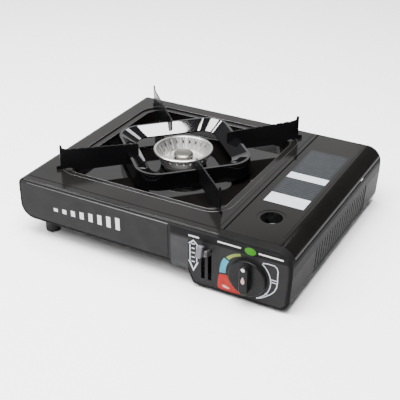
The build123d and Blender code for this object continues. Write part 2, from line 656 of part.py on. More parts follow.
def spindle():
    """Valve spindle, from inside the knob to inside the valve."""
    y0 = FRONT_Y - KNOB_GAP - KNOB_SKIRT_T - KNOB_BORE
    return rod_y(KNOB_X, KNOB_Z, y0, BULKHEAD_Y + SPINDLE_IN, SPINDLE_R)


def cam_point(turn, radius):
    """A point on the cam that faces the striker once the knob has made the turn."""
    angle = radians(180 - turn)
    return radius * cos(angle), radius * sin(angle)


def cam_profile():
    """Snail cam: its radius grows evenly with the knob's turn, and drops back at the end."""
    steps = 12
    points = []
    for i in range(steps + 1):
        share = i / steps
        points.append(cam_point(KNOB_TURN * share, CAM_R + STRIKER_TRAVEL * share))
    low = KNOB_TURN + CAM_DROP
    drop = cam_point(low, CAM_R)
    back = ThreePointArc(drop, cam_point((low + 360) / 2, CAM_R), points[0])
    return make_face([Spline(*points), Line(points[-1], drop), back])


def cam():
    """Ignition cam, pressed on the spindle behind the control panel."""
    face = cam_profile() - Circle(SPINDLE_R)
    return along_y(Pos(KNOB_X, KNOB_Z) * face, PIEZO_Y - CAM_T / 2, PIEZO_Y + CAM_T / 2)


def bulkhead():
    """Upright plate behind the control panel that carries the valve and the front hinge pin."""
    inside = body_section(SHEET)
    right = BULKHEAD_LEFT_X + FAR
    window = Pos((BULKHEAD_LEFT_X + right) / 2, LID_EDGE_Z + 3 - FAR / 2) * Rectangle(FAR, FAR)
    plate = along_y(inside & window, BULKHEAD_Y, BULKHEAD_Y + PANEL_T)
    half = lever_sweep() + PASS_GAP
    plate -= block(SLOT_X[0] - 4, SLOT_X[1] + 4, -FAR, 0, LEVER_PIVOT_Z - half, LEVER_PIVOT_Z + half)
    plate -= rod_y(KNOB_X, KNOB_Z, -FAR, 0, SPINDLE_R + PASS_GAP)
    plate -= rod_y(HINGE_X, HINGE_Z, -FAR, 0, HINGE_PIN_R)
    for screw_x in valve_screw_places():
        plate -= rod_y(screw_x, KNOB_Z, -FAR, 0, SCREW_R)
    return plate


def valve_screw_places():
    """Where the two valve screws pass the bulkhead."""
    return [KNOB_X + side * (VALVE_W / 2 - VALVE_SCREW_IN) for side in (-1, 1)]


def valve_body():
    """Gas valve block behind the bulkhead."""
    y0 = BULKHEAD_Y + PANEL_T
    body = block(KNOB_X - VALVE_W / 2, KNOB_X + VALVE_W / 2, y0, REGULATOR_Y0,
                 KNOB_Z - VALVE_H / 2, KNOB_Z + VALVE_H / 2)
    body = fillet(body.edges().filter_by(Axis.Y), VALVE_EDGE_R)
    body -= rod_y(KNOB_X, KNOB_Z, y0, BULKHEAD_Y + SPINDLE_IN + SPINDLE_END_GAP, SPINDLE_R + PIN_FIT)
    for screw_x in valve_screw_places():
        body -= rod_y(screw_x, KNOB_Z, y0, y0 + VALVE_SCREW_L, SCREW_R)
    return body


def regulator():
    """Pressure regulator with the socket that takes the cartridge's collar."""
    body = rod_y(KNOB_X, CARTRIDGE_Z, REGULATOR_Y0, REGULATOR_Y1, REGULATOR_R)
    body = fillet(body.faces().sort_by(Axis.Y)[0].edges(), REGULATOR_EDGE_R)
    body -= rod_y(KNOB_X, CARTRIDGE_Z, REGULATOR_Y1 - COLLAR_DEPTH, REGULATOR_Y1, COLLAR_R)
    socket_y = REGULATOR_Y1 - COLLAR_DEPTH
    body -= rod_y(KNOB_X, CARTRIDGE_Z, socket_y - NOZZLE_DEPTH, socket_y, NOZZLE_R)
    body -= rod_x(PIPE_Y, PIPE_Z, KNOB_X - REGULATOR_R - 1, KNOB_X - REGULATOR_R + 8, PIPE_R)
    return body


def diaphragm_cover():
    """Stepped cover of the regulator's diaphragm, on top of the regulator."""
    z0 = CARTRIDGE_Z + REGULATOR_R
    y = (REGULATOR_Y0 + REGULATOR_Y1) / 2
    disc = rod_z(KNOB_X, y, z0 - COVER_SEAT, z0 + COVER_STEP, COVER_R)
    disc += rod_z(KNOB_X, y, z0 + COVER_STEP, z0 + COVER_H, COVER_TOP_R)
    return disc - rod_y(KNOB_X, CARTRIDGE_Z, REGULATOR_Y0, REGULATOR_Y1, REGULATOR_R)


def valve_screws():
    """Two pan-head screws through the bulkhead into the valve."""
    screws = []
    for x in valve_screw_places():
        head = rod_y(x, KNOB_Z, BULKHEAD_Y - SCREW_HEAD_T, BULKHEAD_Y, SCREW_HEAD_R)
        screws.append(head + rod_y(x, KNOB_Z, BULKHEAD_Y, BULKHEAD_Y + PANEL_T + VALVE_SCREW_L, SCREW_R))
    return screws


# ---------------------------------------------------------------- lock lever and carriage
def lever_frame():
    """Turns a lever drawn level into its raised rest pose."""
    return Pos(0, LEVER_PIVOT_Y, LEVER_PIVOT_Z) * Rot(-LEVER_SWING / 2, 0, 0)


def lever_arm(x, width=LEVER_T):
    """One arm of the lever, drawn level, from its pivot forward into its grip."""
    length = LEVER_REACH + LEVER_ARM_H / 2 + LEVER_TIP
    outline = RectangleRounded(length, LEVER_ARM_H, LEVER_ARM_H / 2 - 0.1)
    return along_x(Pos(LEVER_ARM_H / 2 - length / 2, 0) * outline, x - width / 2, x + width / 2)


def lock_lever():
    """Forked steel lever: two arms through the slots, joined by a hub, with a finger on top."""
    hub = rod_x(0, 0, LEVER_X0, LEVER_X1, LEVER_PIN_R + LEVER_HUB_WALL)
    tip = LEVER_FINGER / cos(radians(LEVER_SWING / 2))
    finger = block(LEVER_X0 + LEVER_T, LEVER_X1 - LEVER_T, -FINGER_T / 2, FINGER_T / 2, 0, tip)
    lever = lever_arm(SLOT_X[0]) + lever_arm(SLOT_X[1]) + hub + finger
    return lever_frame() * (lever - rod_x(0, 0, -FAR, FAR, LEVER_PIN_R + PIN_FIT))


def lever_grips():
    """Moulded grips on the ends of the two arms."""
    grips = []
    for x, width, height in ((SLOT_X[0], GRIP_W0, GRIP_H), (SLOT_X[1], GRIP_W1, GRIP_H / 2)):
        y = -LEVER_REACH
        grip = block(x - width / 2, x + width / 2, y - GRIP_T / 2, y + GRIP_T / 2, -height / 2, height / 2)
        grips.append(lever_frame() * (fillet(grip.edges(), GRIP_ROUND) - lever_arm(x)))
    return grips


def lever_pivot():
    """Pivot pin of the lever, held in its bracket's ears."""
    return rod_x(LEVER_PIVOT_Y, LEVER_PIVOT_Z, BRACKET_X0, BRACKET_X1, LEVER_PIN_R)


def lever_bracket():
    """Bracket with an ear at each end of the lever's pin, standing on the deep floor."""
    y0 = LEVER_PIVOT_Y - EAR_HALF
    y1 = LEVER_PIVOT_Y + EAR_HALF
    bracket = block(BRACKET_X0, BRACKET_X1, y0, y1, DEEP_FLOOR_Z, DEEP_FLOOR_Z + PANEL_T)
    for x in (BRACKET_X0, BRACKET_X1 - PANEL_T):
        bracket += block(x, x + PANEL_T, y0, y1, DEEP_FLOOR_Z, LEVER_PIVOT_Z + EAR_HALF)
    return bracket - rod_x(LEVER_PIVOT_Y, LEVER_PIVOT_Z, -FAR, FAR, LEVER_PIN_R)


def carriage():
    """Slide that draws the cartridge forward: floor plate, fork, and a bar before the finger."""
    z0 = DEEP_FLOOR_Z + RUN_GAP
    z1 = z0 + PANEL_T
    half = COLLAR_R - 1
    y0 = LEVER_PIVOT_Y + EAR_HALF + CARRIAGE_TRAVEL + 2 * RUN_GAP
    y1 = CARTRIDGE_FRONT_Y + 2
    x0 = BRACKET_X0 - PANEL_T - 2.5
    plate = block(x0, KNOB_X + half + 6, y0, SHIELD_FRONT_Y - 1, z0, z1)
    plate += block(KNOB_X - half - 6, KNOB_X + half + 6, y0, y1, z0, z1)
    for side in (-1, 1):
        x = KNOB_X + side * (half + 3)
        plate += block(x - 3, x + 3, CARTRIDGE_FRONT_Y - 1.5, CARTRIDGE_FRONT_Y, z0, CARTRIDGE_Z - 4)
    bar_y = LEVER_PIVOT_Y + CARRIAGE_TRAVEL / 2 - FINGER_T / 2 - 0.9
    bar_z = LEVER_PIVOT_Z + LEVER_PIN_R + LEVER_HUB_WALL + PASS_GAP
    upright = block(x0, x0 + 2, bar_y - 2, y0 + 4, z0, bar_z + 3)
    bar = block(x0, LEVER_X1 - LEVER_T, bar_y - 2, bar_y, bar_z, bar_z + 3)
    return plate + upright + bar


def cartridge_form(grow=0.0):
    """The space that the gas cartridge's can fills, grown by grow."""
    return rod_y(KNOB_X, CARTRIDGE_Z, CARTRIDGE_FRONT_Y, CARTRIDGE_REAR_Y, CARTRIDGE_R + grow)


def cartridge_cradles():
    """Two saddles on the deep floor that the can lies in."""
    saddles = []
    for y in CRADLE_Y:
        saddle = block(KNOB_X - CRADLE_HALF_W, KNOB_X + CRADLE_HALF_W, y - CRADLE_T / 2, y + CRADLE_T / 2,
                       DEEP_FLOOR_Z, CRADLE_TOP_Z)
        saddles.append(saddle - cartridge_form(RUN_GAP))
    return saddles


def bay_rear_stop():
    """Bent steel stop behind the can."""
    x0 = KNOB_X - STOP_HALF_W
    x1 = KNOB_X + STOP_HALF_W
    y0 = CARTRIDGE_REAR_Y + STOP_GAP
    stop = block(x0, x1, y0, y0 + PANEL_T, DEEP_FLOOR_Z, CARTRIDGE_Z)
    return stop + block(x0, x1, y0 - STOP_FOOT, y0 + PANEL_T, DEEP_FLOOR_Z, DEEP_FLOOR_Z + PANEL_T)


def heat_shield():
    """Upright sheet between the burner side and the cartridge."""
    foot_z = DEEP_FLOOR_Z
    rear = REAR_Y - EDGE_R - SEAM_GAP
    sheet = block(SHIELD_X, SHIELD_X + SHEET, SHIELD_FRONT_Y, rear, foot_z, TOP_Z - SHEET)
    sheet += block(SHIELD_X - SHIELD_FOOT_W, SHIELD_X, SHIELD_FRONT_Y, rear, foot_z, foot_z + SHEET)
    y0 = BURNER_Y - STRIP_W / 2 - SEAM_GAP
    y1 = BURNER_Y + STRIP_W / 2 + SEAM_GAP
    return sheet - block(0, FAR, y0, y1, foot_z + 8, foot_z + 30)


def heat_strip():
    """Aluminium strip that carries a little heat from the burner to the cartridge."""
    z_top = CHAMBER_Z - STRIP_T
    z_mid = DEEP_FLOOR_Z + 18
    z_low = DEEP_FLOOR_Z
    x_turn = SHIELD_X + 4
    t = STRIP_T
    path = [(BURNER_X - 12, z_top), (STEP_X - 10, z_top), (STEP_X + 15, z_mid + 12), (x_turn, z_mid),
            (x_turn + 8, z_low), (KNOB_X + 20, z_low), (KNOB_X + 20, z_low + t), (x_turn + 8.8, z_low + t),
            (x_turn + 0.8, z_mid + t), (STEP_X + 15.4, z_mid + 12 + t), (STEP_X - 9.6, z_top + t),
            (BURNER_X - 12, z_top + t)]
    return along_y(polygon(*path), BURNER_Y - STRIP_W / 2, BURNER_Y + STRIP_W / 2)


# ---------------------------------------------------------------- burner
def bowl_flute(low, high):
    """Cutter for one flute along the bowl's wall, from its low point to its high one as (radius, height)."""
    run, rise = high[0] - low[0], high[1] - low[1]
    lean = degrees(atan2(run, rise))
    middle = Pos((low[0] + high[0]) / 2, 0, (low[1] + high[1]) / 2) * Rot(0, lean, 0)
    return middle * Pos(FLUTE_DEPTH - FLUTE_R, 0, 0) * Cylinder(FLUTE_R, hypot(run, rise))


def burner_head():
    """Cast head: flaring rim, fluted bowl with flame slots, floor and narrow foot."""
    floor_z = HEAD_FOOT_Z + HEAD_FLOOR_T
    foot_r = RIM_R - HEAD_FOOT_IN
    throat_r = RIM_R - RIM_FLARE
    bowl_r = throat_r - HEAD_WALL
    lip = (RIM_R - 4, RIM_Z - 1)
    outer = [
        (0, HEAD_FOOT_Z), (foot_r, HEAD_FOOT_Z), (foot_r, floor_z - 1), (foot_r + 1, floor_z + 1),
        (throat_r, RIM_Z - 7), (RIM_R - 1, RIM_Z - 4), (RIM_R, RIM_Z - 0.8), (RIM_R - 0.8, RIM_Z),
        (RIM_R - 3.2, RIM_Z), lip, (bowl_r, floor_z), (0, floor_z),
    ]
    head = turned(polygon(*outer)) - rod_z(0, 0, 0, FAR, GAS_BORE_R)
    cut = bowl_flute((bowl_r + 0.5, floor_z + 2), lip)
    cut += block(RIM_R - 14, RIM_R + 1, -FLAME_SLOT_W / 2, FLAME_SLOT_W / 2, RIM_Z - 8.5, RIM_Z - 4.6)
    for i in range(FLAME_SLOTS):
        head -= Rot(0, 0, 360 / FLAME_SLOTS * i) * cut
    return BURNER * head


def burner_cap():
    """Centre cap with its windows, standing on the floor of the head."""
    z0 = HEAD_FOOT_Z + HEAD_FLOOR_T
    z1 = z0 + CAP_H
    profile = [(0, z0), (CAP_R, z0), (CAP_R, z1 - 2.4), (CAP_R - 2, z1 - 0.8), (0, z1)]
    cap = turned(polygon(*profile)) - rod_z(0, 0, z0, z1 - CAP_CROWN_H, CAP_R - CAP_WALL)
    window = block(0, CAP_R + 1, -CAP_WINDOW_W / 2, CAP_WINDOW_W / 2, z0 + 0.6, z0 + 0.6 + CAP_WINDOW_H)
    for i in range(CAP_WINDOWS):
        cap -= Rot(0, 0, CAP_TURN + 360 / CAP_WINDOWS * i) * window
    return BURNER * cap


def tube_frame():
    """Turns a part drawn along +X into the line of the mixing tube."""
    return Pos(BURNER_X, BURNER_Y, TUBE_Z) * Rot(0, 0, TUBE_ANGLE)


def burner_chamber():
    """Cast mixing chamber under the head, with the socket for the mixing tube."""
    chamber = rod_z(0, 0, CHAMBER_Z, HEAD_FOOT_Z, CHAMBER_R)
    chamber -= rod_z(0, 0, CHAMBER_Z + CHAMBER_WALL, HEAD_FOOT_Z, CHAMBER_R - CHAMBER_WALL)
    return BURNER * chamber - tube_frame() * rod_x(0, 0, 0, CHAMBER_R + 1, TUBE_R)


def mixing_tube():
    """Mixing tube from the chamber to its flared mouth, with two air windows."""
    neck = CHAMBER_R - CHAMBER_WALL
    bore = TUBE_R - TUBE_WALL
    mouth = TUBE_REACH
    flare = mouth - TUBE_FLARE_L
    profile = [(neck, bore), (flare, bore), (mouth, bore + TUBE_FLARE), (mouth, TUBE_R + TUBE_FLARE),
               (flare, TUBE_R), (neck, TUBE_R)]
    tube = revolve(polygon(*profile), Axis.X)
    window = mouth - AIR_WINDOW_IN
    tube -= block(window - AIR_WINDOW_L, window, -AIR_WINDOW_W / 2, AIR_WINDOW_W / 2, -FAR, FAR)
    inside = tube_frame() * tube
    return inside - BURNER * rod_z(0, 0, CHAMBER_Z, HEAD_FOOT_Z, CHAMBER_R - CHAMBER_WALL)


def air_shutter():
    """Sleeve on the mixing tube that trims the air windows."""
    end = TUBE_REACH - SHUTTER_IN
    sleeve = rod_x(0, 0, end - SHUTTER_L, end, TUBE_R + SHUTTER_T) - rod_x(0, 0, end - SHUTTER_L, end, TUBE_R)
    return tube_frame() * sleeve


def jet_place():
    """Where the jet meets the gas pipe, just outside the mouth of the mixing tube."""
    reach = TUBE_REACH + JET_GAP
    x = BURNER_X + reach * cos(radians(TUBE_ANGLE))
    y = BURNER_Y + reach * sin(radians(TUBE_ANGLE))
    return x, y


def jet():
    """Brass jet in the mouth of the mixing tube, on a hexagon."""
    tip = TUBE_REACH - JET_REACH
    seat = TUBE_REACH + JET_GAP
    body = rod_x(0, 0, tip, seat, JET_R)
    hexagon = extrude(Plane.YZ.offset(seat - 4) * RegularPolygon(4.5, 6), amount=4)
    return tube_frame() * (body + hexagon - rod_x(0, 0, tip, tip + 6, 0.5))


def gas_pipe():
    """Steel pipe from the regulator to the jet."""
    x, y = jet_place()
    start = KNOB_X - REGULATOR_R + 1
    bend_x = x + (y - PIPE_Y) / tan(radians(-TUBE_ANGLE))
    path = FilletPolyline((start, PIPE_Y, PIPE_Z), (bend_x, PIPE_Y, PIPE_Z), (x, y, TUBE_Z), radius=9)
    return sweep(Plane(origin=path @ 0, z_dir=path % 0) * Circle(PIPE_R), path=path)


def burner_bracket():
    """Hat-section bracket that holds the chamber over the raised floor."""
    t = BRACKET_T
    z0 = RAISED_FLOOR_Z
    z1 = CHAMBER_Z - STRIP_T
    half = BRACKET_W / 2
    toe = half + BRACKET_FOOT
    path = [(-toe, z0), (-half, z0), (-half, z1 - t), (half, z1 - t), (half, z0), (toe, z0), (toe, z0 + t),
            (half + t, z0 + t), (half + t, z1), (-half - t, z1), (-half - t, z0 + t), (-toe, z0 + t)]
    plate = BURNER * along_y(polygon(*path), -BRACKET_D / 2, BRACKET_D / 2)
    for x in bracket_screw_places():
        plate -= rod_z(x, BURNER_Y, 0, CHAMBER_Z - STRIP_T - 2 * t, SCREW_R)
    return plate


def bracket_screw_places():
    """Where the two bracket screws stand."""
    return [BURNER_X + side * (BRACKET_W / 2 + BRACKET_SCREW_OUT) for side in (-1, 1)]


def bracket_screws():
    """Two screws through the bracket's feet into the raised floor."""
    z1 = RAISED_FLOOR_Z + BRACKET_T
    screws = []
    for x in bracket_screw_places():
        head = rod_z(x, BURNER_Y, z1, z1 + SCREW_HEAD_T, SCREW_HEAD_R)
        screws.append(head + rod_z(x, BURNER_Y, RAISED_FLOOR_Z, z1, SCREW_R))
    return screws


# ---------------------------------------------------------------- ignition
def electrode_place():
    """The electrode stands behind the burner, inside the ring of the pan support."""
    return BURNER_X, BURNER_Y + ELECTRODE_REACH


def insulator():
    """Ceramic insulator of the spark electrode, through the floor of the well."""
    x, y = electrode_place()
    z0 = WELL_FLOOR_Z
    body = rod_z(x, y, z0 - ELECTRODE_TAIL, z0 + INSULATOR_H, INSULATOR_R)
    body += rod_z(x, y, z0, z0 + INSULATOR_COLLAR_H, INSULATOR_R + INSULATOR_STEP)
    return body - rod_z(x, y, z0 - ELECTRODE_TAIL, z0 + INSULATOR_H, ELECTRODE_R)


def electrode():
    """Spark electrode: a wire through the insulator, bent towards the burner's rim."""
    x, y = electrode_place()
    z1 = RIM_Z - 3
    foot = (x, y, WELL_FLOOR_Z - ELECTRODE_TAIL)
    tip = (x, BURNER_Y + RIM_R + SPARK_GAP, z1)
    path = FilletPolyline(foot, (x, y, z1), tip, radius=ELECTRODE_BEND_R)
    return sweep(Plane(origin=path @ 0, z_dir=path % 0) * Circle(ELECTRODE_R), path=path)


def piezo():
    """Piezo striker's body, lying along X behind the control panel."""
    body = rod_x(PIEZO_Y, KNOB_Z, PIEZO_X0, PIEZO_X1, PIEZO_R)
    return body - rod_x(PIEZO_Y, KNOB_Z, PIEZO_X0 + PIEZO_WALL, PIEZO_X1, STRIKER_R + PIN_FIT)


def striker():
    """Plunger that the snail cam presses into the piezo body."""
    x0 = PIEZO_X0 + PIEZO_WALL + STRIKER_TRAVEL + PIEZO_END_GAP
    return rod_x(PIEZO_Y, KNOB_Z, x0, KNOB_X - CAM_R - RUN_GAP, STRIKER_R)


def piezo_clip():
    """Clip that holds the piezo body on the bulkhead."""
    x0 = PIEZO_X0 + 6
    half = PIEZO_R + CLIP_WALL
    clip = block(x0, x0 + CLIP_W, PIEZO_Y - 1, BULKHEAD_Y, KNOB_Z - half, KNOB_Z + half)
    return clip - rod_x(PIEZO_Y, KNOB_Z, x0, x0 + CLIP_W, PIEZO_R)


def lead():
    """Ignition lead from the electrode, under the well and over the lever, to the piezo body."""
    x, y = electrode_place()
    low_z = RAISED_FLOOR_Z + 4
    high_z = LID_EDGE_Z + 1
    end_x = PIEZO_X0 + 3
    turn_x = STEP_X - 6
    route = [(x, y, WELL_FLOOR_Z - ELECTRODE_TAIL), (x, y, low_z + 2), (turn_x - 32, BURNER_Y + 26, low_z),
             (turn_x - 26, BURNER_Y - 60, low_z), (turn_x - 24, FRONT_Y + 22, low_z + 3),
             (turn_x, PIEZO_Y + 2, low_z + 20), (turn_x + 14, PIEZO_Y, high_z), (end_x, PIEZO_Y, high_z),
             (end_x, PIEZO_Y, KNOB_Z + PIEZO_R - 0.2)]
    path = FilletPolyline(*route, radius=6)
    wire = sweep(Plane(origin=path @ 0, z_dir=path % 0) * Circle(LEAD_R), path=path)
    return wire - rod_x(PIEZO_Y, KNOB_Z, PIEZO_X0, PIEZO_X1, PIEZO_R)


# ---------------------------------------------------------------- pan support
def ring_plan(flat, corner_r):
    """Plan of the pan support's ring: a rounded square, its flats facing the well's corners."""
    return Rot(0, 0, 45) * RectangleRounded(2 * flat, 2 * flat, corner_r)


def ring_form(inset):
    """The ring's outer form, shrunk by inset."""
    low = ring_plan(RING_FLAT + RING_FLARE - inset, RING_CORNER_R + RING_FLARE - inset)
    high = ring_plan(RING_FLAT - inset, RING_CORNER_R - inset)
    return loft([Pos(0, 0, RING_FOOT_Z) * low, Pos(0, 0, RING_TOP_Z - inset) * high])


def ring_dish(drop):
    """All that lies inside the ring's dished face, lowered by drop."""
    crest = ring_plan(RING_FLAT - RING_CREST, RING_CORNER_R - RING_CREST)
    mouth = ring_plan(RING_OPENING, RING_OPENING_CORNER_R)
    dish = loft([Pos(0, 0, RING_OPENING_Z - drop) * mouth, Pos(0, 0, RING_TOP_Z - drop) * crest])
    dish += Pos(0, 0, RING_TOP_Z - drop) * extrude(crest, amount=drop + 1)
    return dish + Pos(0, 0, RING_FOOT_Z - 1) * extrude(mouth, amount=RING_OPENING_Z - drop - RING_FOOT_Z + 1)


def support_ring():
    """Enamelled ring of the pan support: outer skirt, crest and a face dished to the opening."""
    hollow = ring_form(RING_T) - ring_dish(RING_T)
    return BURNER * (ring_form(0) - ring_dish(0) - hollow)


def blade_profile():
    """One pan blade in radius and height, its lower edge seated on the ring."""
    slope = (RING_TOP_Z - RING_OPENING_Z) / (RING_FLAT - RING_CREST - RING_OPENING)
    seat_z = RING_OPENING_Z + slope * (BLADE_INNER_R - RING_OPENING)
    skirt_r = RING_FLAT + RING_FLARE * (RING_TOP_Z - BLADE_FOOT_Z) / (RING_TOP_Z - RING_FOOT_Z)
    rest_z = TOP_Z + SEAT_GAP
    tab_r = BLADE_POST_R - TAB_L / 2
    tab_end = tab_r + TAB_L
    tab_z = BAND_Z - TAB_DROP
    outline = [
        (BLADE_INNER_R, seat_z), (BLADE_INNER_R, BLADE_TOP_IN_Z - 2), (BLADE_INNER_R + 2, BLADE_TOP_IN_Z),
        (BLADE_POST_R - 7, BLADE_TOP_OUT_Z), (BLADE_POST_R - 3.4, BLADE_TOP_OUT_Z + 1.2),
        (BLADE_POST_R - 2.6, BLADE_POST_Z), (BLADE_POST_R, BLADE_POST_Z), (BLADE_POST_R, rest_z + 4.5),
        (BLADE_NUB_R, rest_z + 3.5), (BLADE_NUB_R, rest_z), (tab_end, rest_z), (tab_end, tab_z),
        (tab_r, tab_z), (tab_r, rest_z), (tab_r - 8, rest_z), (BLADE_WELL_R, BAND_Z + SEAT_GAP),
        (BLADE_WELL_R - 4, BLADE_FOOT_Z), (skirt_r, BLADE_FOOT_Z), (RING_FLAT, RING_TOP_Z),
        (RING_FLAT - RING_CREST, RING_TOP_Z),
    ]
    return polygon(*outline)


def blade_angles():
    """The four blades lie along the well's diagonals."""
    return [45 + 90 * i for i in range(4)]


def support_blades():
    """Four upright pan blades, notched along the top, with a post and a locating tab outside."""
    blade = along_y(blade_profile(), -BLADE_T / 2, BLADE_T / 2)
    reach = BLADE_POST_R - NOTCH_OUT - BLADE_INNER_R - NOTCH_IN
    for i in range(NOTCHES):
        share = i / (NOTCHES - 1)
        r = BLADE_INNER_R + NOTCH_IN + share * reach
        rise = (r - BLADE_INNER_R) / (reach + 2 * NOTCH_IN)
        z = BLADE_TOP_IN_Z + (BLADE_TOP_OUT_Z - BLADE_TOP_IN_Z) * rise
        blade -= rod_y(r, z + NOTCH_R / 2, -FAR, FAR, NOTCH_R)
    return [BURNER * Rot(0, 0, angle) * blade for angle in blade_angles()]


# ---------------------------------------------------------------- feet and fixings
def foot_places():
    """Middle of each foot in plan, with the height of the underside over it."""
    return [(-FOOT_X, -FOOT_Y, RAISED_Z), (-FOOT_X, FOOT_Y, RAISED_Z), (FOOT_X, -FOOT_Y, DEEP_Z),
            (FOOT_X, FOOT_Y, DEEP_Z)]


def foot(x, y, top_z):
    """A round rubber foot under the case, bored for its screw."""
    shoulder = (FOOT_TIP_R + FOOT_CHAMFER, FOOT_CHAMFER)
    profile = [(SCREW_R, 0), (FOOT_TIP_R, 0), shoulder, (FOOT_R, top_z), (SCREW_R, top_z)]
    return Pos(x, y, 0) * turned(polygon(*profile))


def tall_feet():
    """Feet under the raised burner side."""
    return [foot(*place) for place in foot_places() if place[2] == RAISED_Z]


def short_feet():
    """Feet under the deep cartridge side."""
    return [foot(*place) for place in foot_places() if place[2] == DEEP_Z]


def foot_screws():
    """A screw from inside the case down into each foot."""
    screws = []
    for x, y, top_z in foot_places():
        floor_z = top_z + SHEET
        shank = rod_z(x, y, max(floor_z - FOOT_SCREW_L, 1), floor_z, SCREW_R)
        screws.append(shank + rod_z(x, y, floor_z, floor_z + SCREW_HEAD_T, SCREW_HEAD_R))
    return screws


# ---------------------------------------------------------------- all nodes
def main():
    """Build every node and write its file."""
    os.makedirs("parts", exist_ok=True)
    save("case", case())
    save("top_plate", top_plate())
    save("front_panel", front_panel())
    save("control_panel", control_panel())
    save("bulkhead", bulkhead())
    save("heat_shield", heat_shield())
    save("heat_strip", heat_strip())
    save("cartridge_cradles", *cartridge_cradles())
    save("bay_rear_stop", bay_rear_stop())
    save("cartridge_lid", lid())
    save("lid_label", label())
    save("lid_hinge_pins", *lid_pins())
    save("regulator", regulator())
    save("diaphragm_cover", diaphragm_cover())
    save("valve_body", valve_body())
    save("valve_screws", *valve_screws())
    save("valve_spindle", spindle())
    save("control_knob", knob())
    save("ignition_cam", cam())
    save("piezo_igniter", piezo())
    save("piezo_clip", piezo_clip())
    save("striker", striker())
    save("ignition_lead", lead())
    save("electrode_insulator", insulator())
    save("spark_electrode", electrode())
    save("lock_lever", lock_lever())
    save("lever_grips", *lever_grips())
    save("lever_pivot_pin", lever_pivot())
    save("lever_bracket", lever_bracket())
    save("cartridge_carriage", carriage())
    save("burner_head", burner_head())
    save("burner_cap", burner_cap())
    save("burner_chamber", burner_chamber())
    save("mixing_tube", mixing_tube())
    save("air_shutter", air_shutter())
    save("gas_jet", jet())
    save("gas_pipe", gas_pipe())
    save("burner_bracket", burner_bracket())
    save("bracket_screws", *bracket_screws())
    save("support_ring", support_ring())
    save("support_blades", *support_blades())
    save("tall_feet", *tall_feet())
    save("short_feet", *short_feet())
    save("foot_screws", *foot_screws())


main()
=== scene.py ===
"""Looks of the butane cassette stove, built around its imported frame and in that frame's axes.

Sizes are given in millimetres, apart from the studio's, which are in metres. Meshes are in metres.
"""

import json
import logging
import math
from dataclasses import dataclass, field
from enum import Enum
from typing import Callable, Sequence

import bmesh
import bpy
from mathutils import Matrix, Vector


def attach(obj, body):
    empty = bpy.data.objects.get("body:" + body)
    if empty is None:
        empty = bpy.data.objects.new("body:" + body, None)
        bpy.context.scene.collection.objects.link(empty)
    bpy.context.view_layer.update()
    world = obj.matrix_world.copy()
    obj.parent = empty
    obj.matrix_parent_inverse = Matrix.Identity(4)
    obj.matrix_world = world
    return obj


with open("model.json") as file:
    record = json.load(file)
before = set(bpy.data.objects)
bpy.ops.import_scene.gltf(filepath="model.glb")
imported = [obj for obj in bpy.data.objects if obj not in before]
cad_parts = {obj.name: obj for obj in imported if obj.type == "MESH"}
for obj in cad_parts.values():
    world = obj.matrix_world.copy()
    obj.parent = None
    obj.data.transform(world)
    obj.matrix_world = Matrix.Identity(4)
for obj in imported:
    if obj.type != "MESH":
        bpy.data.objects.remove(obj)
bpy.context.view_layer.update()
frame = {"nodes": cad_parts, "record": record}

log = logging.getLogger("stove")

Colour = tuple[float, float, float]
Point2 = tuple[float, float]
Point3 = tuple[float, float, float]
Limits = tuple[float, float, float, float]      # first and last x, then first and last y or z

MM = 0.001
CASE_SHIFT = 7.0                    # the middle of the case lies this far behind the frame's origin, in millimetres
FRONT_Y = CASE_SHIFT - 137.5        # the front panels' outer face, in millimetres
KNOB_X, KNOB_Z = 124.0, 34.0        # the knob's axis, in millimetres
BURNER_X, BURNER_Y = -35.0, CASE_SHIFT + 8.0    # the burner's axis, in millimetres

BRUSH_STRETCH = 0.03                # scale of a brushed grain along its strokes
BROAD_SHARE = 0.035                 # features of the slow change for each feature of the grain
BROAD_DETAIL, FINE_DETAIL = 3.0, 4.0    # octaves of the two noises
FINE_WEIGHT = 0.35                  # weight of the grain in the tint, where the slow change has 1
TINT_SPAN = (0.48, 0.88)            # noise at which the tint is all first tone, and all second tone
GLOSS_SPAN = (0.3, 0.7)             # noise between which the roughness runs from one limit to the other
GRAIN_DEPTH = 0.0004                # height of the grain at full relief, in metres

INK_CLEAR = 0.01                    # gap between a face and the back of its ink, in millimetres
THIN_INK, INK, THICK_INK = 0.03, 0.06, 0.09     # how far ink stands out from its face, in millimetres

MADE_MATERIALS: dict[str, bpy.types.Material] = {}     # by the finish's name, so that each is made once


class Surface(Enum):
    """How a finish breaks up over its surface."""

    SMOOTH = "smooth"
    ORANGE_PEEL = "orange peel"
    GRAIN = "grain"
    BRUSHED = "brushed"
    CAST = "cast"


